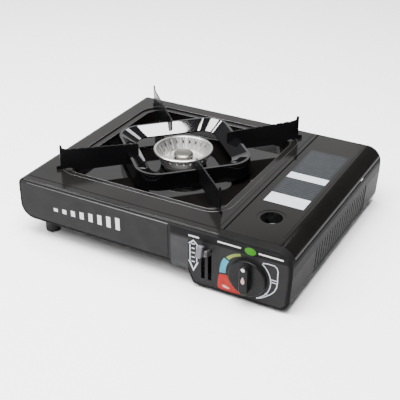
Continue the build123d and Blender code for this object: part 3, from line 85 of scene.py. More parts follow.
@dataclass(frozen=True)
class Finish:
    """One finish of the stove, as a painter or plater would order it."""

    name: str
    colour: Colour
    second: Colour
    roughness: tuple[float, float]
    surface: Surface = Surface.SMOOTH
    metallic: float = 0.0
    grain_per_m: float = 700.0
    relief: float = 0.05
    coat: float = 0.0
    coat_roughness: float = 0.05
    ior: float = 1.5
    brush_axis: int = 0

    def material(self) -> bpy.types.Material:
        """Build the finish's material, or return the one that was built before.

        Returns:
            The node material of this finish.
        """
        if self.name in MADE_MATERIALS:
            return MADE_MATERIALS[self.name]
        made = bpy.data.materials.new("finish_" + self.name)
        MADE_MATERIALS[self.name] = made
        made.use_nodes = True
        tree = made.node_tree
        shader = tree.nodes["Principled BSDF"]
        shader.inputs["Metallic"].default_value = self.metallic
        shader.inputs["Coat Weight"].default_value = self.coat
        shader.inputs["Coat Roughness"].default_value = self.coat_roughness
        shader.inputs["IOR"].default_value = self.ior
        made.diffuse_color = (*self.colour, 1.0)
        place = tree.nodes.new("ShaderNodeTexCoord")
        mapping = tree.nodes.new("ShaderNodeMapping")
        tree.links.new(place.outputs["Object"], mapping.inputs["Vector"])
        if self.surface is Surface.BRUSHED:
            stretch = [1.0, 1.0, 1.0]
            stretch[self.brush_axis] = BRUSH_STRETCH
            mapping.inputs["Scale"].default_value = stretch
        broad = self._noise(tree, mapping, self.grain_per_m * BROAD_SHARE, BROAD_DETAIL)
        fine = self._noise(tree, mapping, self.grain_per_m, FINE_DETAIL)
        self._tint(tree, shader, broad, fine)
        self._gloss(tree, shader, broad, fine)
        if self.surface is not Surface.SMOOTH:
            bump = tree.nodes.new("ShaderNodeBump")
            bump.inputs["Strength"].default_value = self.relief
            bump.inputs["Distance"].default_value = GRAIN_DEPTH
            tree.links.new(fine.outputs["Fac"], bump.inputs["Height"])
            tree.links.new(bump.outputs["Normal"], shader.inputs["Normal"])
        return made

    def _noise(self, tree: bpy.types.NodeTree, mapping: bpy.types.Node, per_m: float, detail: float) -> bpy.types.Node:
        """Add a noise texture.

        Args:
            tree: The material's node tree.
            mapping: The node that gives the coordinates.
            per_m: Features to the metre.
            detail: Octaves of the noise.

        Returns:
            The noise node.
        """
        noise = tree.nodes.new("ShaderNodeTexNoise")
        noise.inputs["Scale"].default_value = per_m
        noise.inputs["Detail"].default_value = detail
        tree.links.new(mapping.outputs["Vector"], noise.inputs["Vector"])
        return noise

    def _tint(self, tree: bpy.types.NodeTree, shader: bpy.types.Node, broad: bpy.types.Node,
              fine: bpy.types.Node) -> None:
        """Vary the colour between the finish's two tones.

        Args:
            tree: The material's node tree.
            shader: The surface shader.
            broad: Noise of slow change.
            fine: Noise of the grain.
        """
        mixed = tree.nodes.new("ShaderNodeMath")
        mixed.operation = "MULTIPLY_ADD"
        mixed.inputs[1].default_value = FINE_WEIGHT
        tree.links.new(fine.outputs["Fac"], mixed.inputs[0])
        tree.links.new(broad.outputs["Fac"], mixed.inputs[2])
        ramp = tree.nodes.new("ShaderNodeValToRGB")
        ramp.color_ramp.elements[0].position = TINT_SPAN[0]
        ramp.color_ramp.elements[0].color = (*self.colour, 1.0)
        ramp.color_ramp.elements[1].position = TINT_SPAN[1]
        ramp.color_ramp.elements[1].color = (*self.second, 1.0)
        tree.links.new(mixed.outputs["Value"], ramp.inputs["Fac"])
        tree.links.new(ramp.outputs["Color"], shader.inputs["Base Color"])

    def _gloss(self, tree: bpy.types.NodeTree, shader: bpy.types.Node, broad: bpy.types.Node,
               fine: bpy.types.Node) -> None:
        """Vary the roughness between its two limits.

        Args:
            tree: The material's node tree.
            shader: The surface shader.
            broad: Noise of slow change.
            fine: Noise of the grain.
        """
        source = fine if self.surface in (Surface.BRUSHED, Surface.GRAIN) else broad
        span = tree.nodes.new("ShaderNodeMapRange")
        span.inputs["From Min"].default_value = GLOSS_SPAN[0]
        span.inputs["From Max"].default_value = GLOSS_SPAN[1]
        span.inputs["To Min"].default_value = self.roughness[0]
        span.inputs["To Max"].default_value = self.roughness[1]
        tree.links.new(source.outputs["Fac"], span.inputs["Value"])
        tree.links.new(span.outputs["Result"], shader.inputs["Roughness"])


class Palette:
    """Every finish of the stove."""

    CASE = Finish("case_enamel", (0.007, 0.0068, 0.0067), (0.0105, 0.0102, 0.0101), (0.16, 0.22), Surface.ORANGE_PEEL,
                  grain_per_m=520.0, relief=0.02, ior=1.045)
    TOP = Finish("top_enamel", (0.0048, 0.0045, 0.0043), (0.0072, 0.0068, 0.0065), (0.12, 0.18), Surface.ORANGE_PEEL,
                 grain_per_m=480.0, relief=0.02, ior=1.235)
    WELL = Finish("well_enamel", (0.002, 0.0018, 0.0017), (0.0035, 0.003, 0.0028), (0.05, 0.09), Surface.ORANGE_PEEL,
                  grain_per_m=220.0, relief=0.02, ior=1.36)
    LID = Finish("lid_enamel", (0.0025, 0.0022, 0.0019), (0.0037, 0.0034, 0.0029), (0.09, 0.14), Surface.ORANGE_PEEL,
                 grain_per_m=480.0, relief=0.015, ior=1.26)
    PANEL = Finish("panel_paint", (0.010, 0.0098, 0.0104), (0.014, 0.0137, 0.0145), (0.32, 0.40), Surface.GRAIN,
                   grain_per_m=1500.0, relief=0.04, ior=1.15)
    PANEL_PATCH = Finish("panel_patch", (0.022, 0.022, 0.0235), (0.030, 0.030, 0.032), (0.32, 0.40), Surface.GRAIN,
                         grain_per_m=1500.0, relief=0.04, ior=1.15)
    SUPPORT = Finish("support_enamel", (0.0015, 0.0015, 0.0018), (0.0025, 0.0025, 0.003), (0.03, 0.06),
                     Surface.ORANGE_PEEL, grain_per_m=260.0, relief=0.02, ior=1.52)
    BLADES = Finish("blade_enamel", (0.003, 0.003, 0.0034), (0.005, 0.005, 0.0056), (0.20, 0.28), Surface.ORANGE_PEEL,
                    grain_per_m=400.0, relief=0.03, ior=1.22)
    ZINC = Finish("zinc_steel", (0.50, 0.51, 0.52), (0.62, 0.62, 0.60), (0.26, 0.40), Surface.BRUSHED, metallic=1.0,
                  grain_per_m=900.0, relief=0.08)
    BRIGHT = Finish("bright_steel", (0.60, 0.60, 0.60), (0.68, 0.68, 0.69), (0.16, 0.26), Surface.BRUSHED,
                    metallic=1.0, grain_per_m=1100.0, relief=0.05)
    SHEET_ALUMINIUM = Finish("aluminium_sheet", (0.72, 0.72, 0.73), (0.80, 0.80, 0.81), (0.28, 0.40), Surface.BRUSHED,
                             metallic=1.0, grain_per_m=900.0, relief=0.06, brush_axis=1)
    BURNER = Finish("cast_aluminium", (0.40, 0.395, 0.385), (0.54, 0.535, 0.52), (0.32, 0.42), Surface.CAST,
                    metallic=1.0, grain_per_m=650.0, relief=0.15)
    CAP = Finish("cap_aluminium", (0.11, 0.107, 0.094), (0.18, 0.176, 0.156), (0.30, 0.42), Surface.CAST,
                 metallic=1.0, grain_per_m=650.0, relief=0.15)
    # painted shade: near black on the cap's inner faces and on its windows' sides
    CAP_SHADE = Finish("cap_inner_shade", (0.012, 0.011, 0.010), (0.020, 0.018, 0.016), (0.60, 0.75), Surface.CAST,
                  grain_per_m=650.0, relief=0.15, ior=1.3)
    DIE_CAST = Finish("die_cast", (0.48, 0.48, 0.50), (0.58, 0.58, 0.60), (0.42, 0.56), Surface.CAST, metallic=1.0,
                      grain_per_m=900.0, relief=0.25)
    BRASS = Finish("brass", (0.62, 0.45, 0.17), (0.72, 0.55, 0.25), (0.20, 0.32), Surface.BRUSHED, metallic=1.0,
                   grain_per_m=1200.0, relief=0.05)
    KNOB = Finish("knob_plastic", (0.004, 0.004, 0.0043), (0.006, 0.006, 0.0063), (0.24, 0.32), Surface.GRAIN,
                  grain_per_m=2200.0, relief=0.06, ior=1.18)
    GRIP = Finish("grip_plastic", (0.062, 0.060, 0.070), (0.082, 0.080, 0.090), (0.30, 0.40), Surface.GRAIN,
                  grain_per_m=2200.0, relief=0.08)
    # painted shade: a darker copy of the grip plastic for the right-hand grip
    GRIP_SHADED = Finish("grip_plastic_shaded", (0.018, 0.0175, 0.02), (0.026, 0.0255, 0.028), (0.34, 0.44), Surface.GRAIN,
                      grain_per_m=2200.0, relief=0.08)
    ACETAL = Finish("cam_plastic", (0.62, 0.62, 0.59), (0.70, 0.70, 0.67), (0.34, 0.44), Surface.GRAIN,
                    grain_per_m=2000.0, relief=0.05)
    CERAMIC = Finish("ceramic", (0.80, 0.78, 0.73), (0.87, 0.85, 0.81), (0.12, 0.22), Surface.ORANGE_PEEL,
                     grain_per_m=900.0, relief=0.05, coat=0.6)
    LEAD = Finish("lead_sleeve", (0.28, 0.02, 0.015), (0.36, 0.03, 0.02), (0.46, 0.58), Surface.GRAIN,
                  grain_per_m=1800.0, relief=0.08)
    FILM = Finish("label_print", (0.008, 0.0092, 0.0107), (0.0112, 0.0128, 0.0147), (0.18, 0.26), Surface.GRAIN,
                  grain_per_m=2600.0, relief=0.02, ior=1.28)
    RUBBER = Finish("foot_rubber", (0.008, 0.008, 0.008), (0.013, 0.013, 0.013), (0.70, 0.85), Surface.GRAIN,
                    grain_per_m=1600.0, relief=0.20, ior=1.35)
    WHITE = Finish("ink_white", (0.42, 0.425, 0.43), (0.48, 0.48, 0.485), (0.42, 0.52), Surface.GRAIN,
                   grain_per_m=3000.0, relief=0.03)
    PALE = Finish("ink_pale_blue", (0.33, 0.35, 0.385), (0.38, 0.40, 0.44), (0.40, 0.50), Surface.GRAIN,
                  grain_per_m=3000.0, relief=0.03)
    GREY = Finish("ink_grey", (0.015, 0.0172, 0.0195), (0.024, 0.027, 0.030), (0.20, 0.28), Surface.GRAIN,
                  grain_per_m=3000.0, relief=0.02, ior=1.28)
    GREEN = Finish("ink_green", (0.016, 0.105, 0.003), (0.030, 0.145, 0.006), (0.38, 0.48), Surface.GRAIN,
                   grain_per_m=3000.0, relief=0.03, ior=1.18)
    OLIVE = Finish("ink_yellow_green", (0.105, 0.15, 0.025), (0.175, 0.205, 0.055), (0.38, 0.48), Surface.GRAIN,
                   grain_per_m=3000.0, relief=0.03, ior=1.18)
    CYAN = Finish("ink_cyan", (0.022, 0.165, 0.23), (0.065, 0.25, 0.305), (0.38, 0.48), Surface.GRAIN,
                  grain_per_m=3000.0, relief=0.03, ior=1.18)
    RED = Finish("ink_red", (0.185, 0.0055, 0.0045), (0.245, 0.015, 0.012), (0.38, 0.48), Surface.GRAIN,
                 grain_per_m=3000.0, relief=0.03, ior=1.18)
    # pink for the knob's flame mark, and for the painted highlight on the scale's red end
    PINK = Finish("pink_ink_and_highlight", (0.31, 0.18, 0.165), (0.35, 0.23, 0.21), (0.38, 0.48), Surface.GRAIN,
                  grain_per_m=3000.0, relief=0.03)
    # painted highlight: a light grey for the front panel's upper edge
    EDGE_HIGHLIGHT = Finish("edge_highlight", (0.085, 0.085, 0.087), (0.125, 0.125, 0.127), (0.26, 0.36), Surface.GRAIN,
                  grain_per_m=900.0, relief=0.03, ior=1.4)
    # the rolled edges' enamel: real edges, painted lighter than the top plate's as a painted highlight
    BEAD_HIGHLIGHT = Finish("bead_enamel_highlight", (0.020, 0.0192, 0.0186), (0.032, 0.031, 0.030), (0.18, 0.26), Surface.ORANGE_PEEL,
                  grain_per_m=480.0, relief=0.02, ior=1.45)
    HEADER = Finish("ink_black", (0.004, 0.004, 0.004), (0.006, 0.006, 0.006), (0.30, 0.38), Surface.GRAIN,
                    grain_per_m=2400.0, relief=0.03, ior=1.12)
    FLOOR = Finish("studio_floor", (0.88, 0.88, 0.88), (0.90, 0.90, 0.90), (0.60, 0.70), Surface.SMOOTH,
                   grain_per_m=60.0)


def new_piece(name: str, mesh: bpy.types.Mesh, body: str, finish: Finish) -> bpy.types.Object:
    """Link a mesh as one piece of the stove.

    Args:
        name: The piece's name.
        mesh: Its mesh, in the frame's own coordinates.
        body: The body that it moves with.
        finish: Its finish.

    Returns:
        The new object.
    """
    piece = bpy.data.objects.new(name, mesh)
    bpy.context.scene.collection.objects.link(piece)
    mesh.materials.clear()
    mesh.materials.append(finish.material())
    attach(piece, body)
    log.info("%s: %d faces on %s", name, len(mesh.polygons), body)
    return piece


@dataclass
class Print:
    """Ink on a flat face: outlines drawn in two axes and raised by the thickness of the ink."""

    name: str
    body: str
    finish: Finish
    slot: str
    level: float
    upright: bool
    proud: float = INK
    shapes: list[list[Point2]] = field(default_factory=list)

    def point(self, across: float, along: float, lift: float) -> Vector:
        """Place one point of the print.

        Args:
            across: X in millimetres.
            along: Z in millimetres on an upright face, or else Y.
            lift: Distance from the face in millimetres.

        Returns:
            The point in metres.
        """
        if self.upright:
            return Vector((across, self.level - lift, along)) * MM
        return Vector((across, along, self.level + lift)) * MM

    def build(self) -> bpy.types.Object:
        """Build the print as one piece.

        Returns:
            The new object.
        """
        made = bmesh.new()
        for outline in self.shapes:
            self._prism(made, outline)
        bmesh.ops.recalc_face_normals(made, faces=made.faces)
        mesh = bpy.data.meshes.new(self.name)
        made.to_mesh(mesh)
        made.free()
        return new_piece(self.name, mesh, self.body, self.finish)

    def _prism(self, made: bmesh.types.BMesh, outline: Sequence[Point2]) -> None:
        """Add one outline with its thickness.

        Args:
            made: The mesh to add to.
            outline: The outline's points in millimetres.
        """
        low = [made.verts.new(self.point(u, v, INK_CLEAR)) for u, v in outline]
        high = [made.verts.new(self.point(u, v, self.proud)) for u, v in outline]
        made.faces.new(low)
        made.faces.new(high)
        for i, vertex in enumerate(low):
            j = (i + 1) % len(low)
            made.faces.new((vertex, low[j], high[j], high[i]))


def bar(x0: float, x1: float, v0: float, v1: float) -> list[Point2]:
    """Return a rectangle's outline from two corners."""
    return [(x0, v0), (x1, v0), (x1, v1), (x0, v1)]


def oval(x: float, v: float, half_w: float, half_h: float, points: int = 40) -> list[Point2]:
    """Return an ellipse's outline about x, v."""
    turns = [2 * math.pi * i / points for i in range(points)]
    return [(x + half_w * math.cos(a), v + half_h * math.sin(a)) for a in turns]


def band(x: float, v: float, radii: Sequence[tuple[float, float, float]]) -> list[Point2]:
    """Outline a band of changing width round a centre.

    Args:
        x: Centre across.
        v: Centre along.
        radii: Angle in degrees, inner radius and outer radius, in order round the band.

    Returns:
        The outline's points.
    """
    outer = [(x + r * math.cos(math.radians(a)), v + r * math.sin(math.radians(a))) for a, _, r in radii]
    inner = [(x + r * math.cos(math.radians(a)), v + r * math.sin(math.radians(a))) for a, r, _ in radii]
    return outer + inner[::-1]


def stroke(path: Sequence[Point2], width: float) -> list[Point2]:
    """Outline an open line of one width.

    Args:
        path: Points along the middle of the line.
        width: The line's width.

    Returns:
        The outline's points.
    """
    left, right = [], []
    for i, (u, v) in enumerate(path):
        before, after = path[max(i - 1, 0)], path[min(i + 1, len(path) - 1)]
        du, dv = after[0] - before[0], after[1] - before[1]
        reach = width / 2 / math.hypot(du, dv)
        left.append((u - dv * reach, v + du * reach))
        right.append((u + dv * reach, v - du * reach))
    return left + right[::-1]


def spread(start: float, end: float, count: int) -> list[float]:
    """Return count values from start to end, both included."""
    return [start + (end - start) * i / (count - 1) for i in range(count)]


class GeometryTree:
    """A small geometry tree with named number inputs, ending in real faces and their finish."""

    def __init__(self, name: str) -> None:
        """Start an empty tree.

        Args:
            name: The tree's name, also its mesh's.
        """
        self.name = name
        self.tree = bpy.data.node_groups.new(name, "GeometryNodeTree")
        self.tree.interface.new_socket("Geometry", in_out="OUTPUT", socket_type="NodeSocketGeometry")
        self.enter = self.tree.nodes.new("NodeGroupInput")
        self.leave = self.tree.nodes.new("NodeGroupOutput")
        self.values: dict[str, float] = {}

    def number(self, name: str, value: float) -> bpy.types.NodeSocket:
        """Add a named input, a whole number where its value is one.

        Args:
            name: The input's name.
            value: Its value.

        Returns:
            The socket that carries it in the tree.
        """
        kind = "NodeSocketInt" if isinstance(value, int) else "NodeSocketFloat"
        made = self.tree.interface.new_socket(name, in_out="INPUT", socket_type=kind)
        made.default_value = value
        self.values[made.identifier] = value
        return self.enter.outputs[name]

    def node(self, kind: str, **values: object) -> bpy.types.Node:
        """Add a node and set its properties.

        Args:
            kind: The node's type.
            **values: Properties by name.

        Returns:
            The node.
        """
        made = self.tree.nodes.new(kind)
        for key, value in values.items():
            setattr(made, key, value)
        return made

    def link(self, start: bpy.types.NodeSocket, end: bpy.types.NodeSocket) -> None:
        """Join two sockets."""
        self.tree.links.new(start, end)

    def vector(self, *parts: bpy.types.NodeSocket | float) -> bpy.types.NodeSocket:
        """Combine three sockets or numbers into one vector.

        Args:
            *parts: The vector's x, y and z.

        Returns:
            The vector's socket.
        """
        made = self.node("ShaderNodeCombineXYZ")
        for part, entry in zip(parts, made.inputs):
            if isinstance(part, bpy.types.NodeSocket):
                self.link(part, entry)
            else:
                entry.default_value = part
        return made.outputs["Vector"]

    def line(self, count: bpy.types.NodeSocket, offset: bpy.types.NodeSocket,
             start: bpy.types.NodeSocket) -> bpy.types.NodeSocket:
        """Lay points in a line.

        Args:
            count: How many.
            offset: The step from one to the next.
            start: Where the first lies.

        Returns:
            The points' socket.
        """
        made = self.node("GeometryNodeMeshLine", mode="OFFSET")
        self.link(count, made.inputs["Count"])
        self.link(offset, made.inputs["Offset"])
        self.link(start, made.inputs["Start Location"])
        return made.outputs["Mesh"]

    def boxes(self, points: bpy.types.NodeSocket, size: bpy.types.NodeSocket) -> bpy.types.NodeSocket:
        """Put a box about each point.

        Args:
            points: The points.
            size: A box's size.

        Returns:
            The copies' socket.
        """
        cube = self.node("GeometryNodeMeshCube")
        copies = self.node("GeometryNodeInstanceOnPoints")
        self.link(points, copies.inputs["Points"])
        self.link(cube.outputs["Mesh"], copies.inputs["Instance"])
        self.link(size, copies.inputs["Scale"])
        return copies.outputs["Instances"]

    def mesh(self, parts: Sequence[bpy.types.NodeSocket], finish: Finish) -> bpy.types.Mesh:
        """End the tree with real faces in a finish, run it and return its result as a plain mesh.

        Args:
            parts: The sockets that give its parts.
            finish: Their finish.

        Returns:
            The mesh.
        """
        join = self.node("GeometryNodeJoinGeometry")
        real = self.node("GeometryNodeRealizeInstances")
        dressed = self.node("GeometryNodeSetMaterial")
        dressed.inputs["Material"].default_value = finish.material()
        for part in parts:
            self.link(part, join.inputs["Geometry"])
        self.link(join.outputs["Geometry"], real.inputs["Geometry"])
        self.link(real.outputs["Geometry"], dressed.inputs["Geometry"])
        self.link(dressed.outputs["Geometry"], self.leave.inputs["Geometry"])
        carrier = bpy.data.objects.new(self.name + "_carrier", bpy.data.meshes.new(self.name + "_carrier"))
        bpy.context.scene.collection.objects.link(carrier)
        modifier = carrier.modifiers.new("tree", "NODES")
        modifier.node_group = self.tree
        for key, value in self.values.items():
            modifier[key] = value
        graph = bpy.context.evaluated_depsgraph_get()
        made = bpy.data.meshes.new_from_object(carrier.evaluated_get(graph))
        carrier.modifiers.remove(modifier)
        bpy.data.objects.remove(carrier)
        made.name = self.name
        return made


@dataclass
class CarriedNodes:
    """The frame's own nodes, each given its finish."""

    finishes: dict[str, Finish] = field(default_factory=lambda: {
        "case_enamel": Palette.CASE, "top_enamel": Palette.TOP, "lid_enamel": Palette.LID,
        "panel_paint": Palette.PANEL, "support_enamel": Palette.SUPPORT, "zinc_steel": Palette.ZINC,
        "bright_steel": Palette.BRIGHT, "aluminium_sheet": Palette.SHEET_ALUMINIUM,
        "cast_aluminium": Palette.BURNER, "die_cast": Palette.DIE_CAST, "brass": Palette.BRASS,
        "knob_plastic": Palette.KNOB, "grip_plastic": Palette.GRIP, "cam_plastic": Palette.ACETAL,
        "ceramic": Palette.CERAMIC, "lead_sleeve": Palette.LEAD, "label_print": Palette.FILM,
        "foot_rubber": Palette.RUBBER,
    })
    well: Limits = (-137.8, 67.8, -86.8, 116.8)
    well_top: float = 72.2          # the top plate's faces below this height are the well's
    between_grips: float = 75.5     # x between the two grips
    cap_inside: float = 11.2        # radius within which the cap's faces take painted shade
    level: float = 0.3              # upward share of a face's normal, from which the face counts as level

    def build(self) -> None:
        """Give every node the finish that its material slot names."""
        for part in frame["record"]["subparts"]:
            node = frame["nodes"][part["node"]]
            finish = self.finishes[part["material_slot"]]
            node.data.materials.clear()
            node.data.materials.append(finish.material())
            for face in node.data.polygons:
                face.material_index = 0
            log.info("%s: %s", part["node"], finish.name)
        self._second("top_plate", Palette.WELL, self._in_well)
        # painted shade on the grip to the right of between_grips
        self._second("lever_grips", Palette.GRIP_SHADED, lambda face: face.center.x > self.between_grips * MM)
        self._second("burner_cap", Palette.CAP, lambda face: True)
        # painted shade inside the cap and on its windows' sides
        self._second("burner_cap", Palette.CAP_SHADE, self._inside_cap)
        self._second("support_blades", Palette.BLADES, lambda face: True)

    def _in_well(self, face: bpy.types.MeshPolygon) -> bool:
        """Tell whether a face of the top plate lies within its well, below the band.

        Args:
            face: The face.

        Returns:
            True where it does.
        """
        x0, x1, y0, y1 = self.well
        x, y, z = face.center / MM
        return x0 < x < x1 and y0 < y < y1 and z < self.well_top

    def _inside_cap(self, face: bpy.types.MeshPolygon) -> bool:
        """Tell whether a face of the burner's cap lies inside it, or on the sides of its windows."""
        away = math.hypot(face.center.x / MM - BURNER_X, face.center.y / MM - BURNER_Y)
        return away < self.cap_inside and face.normal.z < self.level

    def _second(self, name: str, finish: Finish, chosen: Callable[[bpy.types.MeshPolygon], bool]) -> None:
        """Give some of a node's faces another finish.

        Args:
            name: The node's name.
            finish: The other finish.
            chosen: Tells whether a face takes that finish.
        """
        mesh = frame["nodes"][name].data
        mesh.materials.append(finish.material())
        slot = len(mesh.materials) - 1
        for face in mesh.polygons:
            if chosen(face):
                face.material_index = slot


@dataclass
class StepBeads:
    """Fine rolled edges along the two steps round the well, led along rounded rectangles by a geometry tree, in an
    enamel that is painted lighter than the top plate's as a painted highlight.
    """

    band_half: Point2 = (111.0, 110.0)
    band_corner: float = 26.0
    well_half: Point2 = (102.5, 101.5)
    well_corner: float = 17.5
    top_z: float = 74.0
    band_z: float = 72.4
    radius: float = 0.55
    sink: float = 0.25
    sides: int = 8
    corner_points: int = 8

    def build(self) -> None:
        """Build the two closed beads round the well."""
        tree = GeometryTree("step_beads")
        section = tree.node("GeometryNodeCurvePrimitiveCircle")
        tree.link(tree.number("Sides", self.sides), section.inputs["Resolution"])
        tree.link(tree.number("Bead radius", self.radius * MM), section.inputs["Radius"])
        round_wire = section.outputs["Curve"]
        beads = [self._bead(tree, round_wire, "Band", self.band_half, self.band_corner, self.top_z),
                 self._bead(tree, round_wire, "Well", self.well_half, self.well_corner, self.band_z)]
        new_piece("step_beads", tree.mesh(beads, Palette.BEAD_HIGHLIGHT), "stove", Palette.BEAD_HIGHLIGHT)

    def _bead(self, tree: GeometryTree, section: bpy.types.NodeSocket, label: str, half: Point2, corner: float,
              height: float) -> bpy.types.NodeSocket:
        """Add one closed bead along a rounded rectangle.

        Args:
            tree: The tree to add to.
            section: The bead's cross-section.
            label: What the bead's inputs are called after.
            half: Half the rectangle's width and depth in millimetres.
            corner: Its corner radius.
            height: Height of the face that the bead lies in.

        Returns:
            The bead's socket.
        """
        outline = tree.node("GeometryNodeCurvePrimitiveQuadrilateral")
        tree.link(tree.number(label + " width", 2 * half[0] * MM), outline.inputs["Width"])
        tree.link(tree.number(label + " depth", 2 * half[1] * MM), outline.inputs["Height"])
        rounded = tree.node("GeometryNodeFilletCurve", mode="POLY")
        rounded.inputs["Count"].default_value = self.corner_points
        tree.link(outline.outputs["Curve"], rounded.inputs["Curve"])
        tree.link(tree.number(label + " corner", corner * MM), rounded.inputs["Radius"])
        swept = tree.node("GeometryNodeCurveToMesh")
        tree.link(rounded.outputs["Curve"], swept.inputs["Curve"])
        tree.link(section, swept.inputs["Profile Curve"])
        placed = tree.node("GeometryNodeTransform")
        level = tree.number(label + " height", (height - self.sink) * MM)
        tree.link(swept.outputs["Mesh"], placed.inputs["Geometry"])
        tree.link(tree.vector(BURNER_X * MM, BURNER_Y * MM, level), placed.inputs["Translation"])
        return placed.outputs["Geometry"]


@dataclass
class FrontPrint:
    """Plain heat-level bars on the burner side's front, each taller than the last, made by a geometry tree."""

    face_y: float = FRONT_Y
    left_x: float = -122.0
    pitch: float = 12.0
    count: int = 8
    foot_z: float = 43.0
    low_h: float = 4.0
    rise: float = 1.6
    width: float = 5.5
    ink: float = INK

    def build(self) -> None:
        """Build the row of bars."""
        tree = GeometryTree("front_level_bars")
        width = tree.number("Width", self.width * MM)
        low = tree.number("First height", self.low_h * MM)
        rise = tree.number("Rise", self.rise * MM)
        pitch = tree.number("Pitch", self.pitch * MM)
        place = tree.node("GeometryNodeInputIndex")
        height = tree.node("ShaderNodeMath", operation="MULTIPLY_ADD")
        tree.link(place.outputs["Index"], height.inputs[0])
        tree.link(rise, height.inputs[1])
        tree.link(low, height.inputs[2])
        half = tree.node("ShaderNodeMath", operation="MULTIPLY")
        tree.link(height.outputs["Value"], half.inputs[0])
        half.inputs[1].default_value = 0.5
        start = tree.vector((self.left_x + self.width / 2) * MM, (self.face_y - self.ink / 2) * MM, self.foot_z * MM)
        points = tree.line(tree.number("Count", self.count), tree.vector(pitch, 0.0, 0.0), start)
        raised = tree.node("GeometryNodeSetPosition")
        tree.link(points, raised.inputs["Geometry"])
        tree.link(tree.vector(0.0, 0.0, half.outputs["Value"]), raised.inputs["Offset"])
        size = tree.vector(width, self.ink * MM, height.outputs["Value"])
        bars = tree.boxes(raised.outputs["Geometry"], size)
        new_piece("front_level_bars", tree.mesh([bars], Palette.WHITE), "stove", Palette.WHITE)


@dataclass
class PanelEdgeHighlight:
    """A painted highlight along the plain front panel's upper edge, in a light grey enamel."""

    left: float = -158.0
    right: float = 28.6
    top: float = 70.2
    left_height: float = 0.3
    right_height: float = 1.1

    def build(self) -> None:
        """Build the painted highlight as one band that widens to the right."""
        edge = Print("panel_edge_highlight", "stove", Palette.EDGE_HIGHLIGHT, "panel_paint", FRONT_Y, True)
        edge.shapes.append([(self.left, self.top), (self.left, self.top - self.left_height),
                            (self.right, self.top - self.right_height), (self.right, self.top)])
        edge.build()


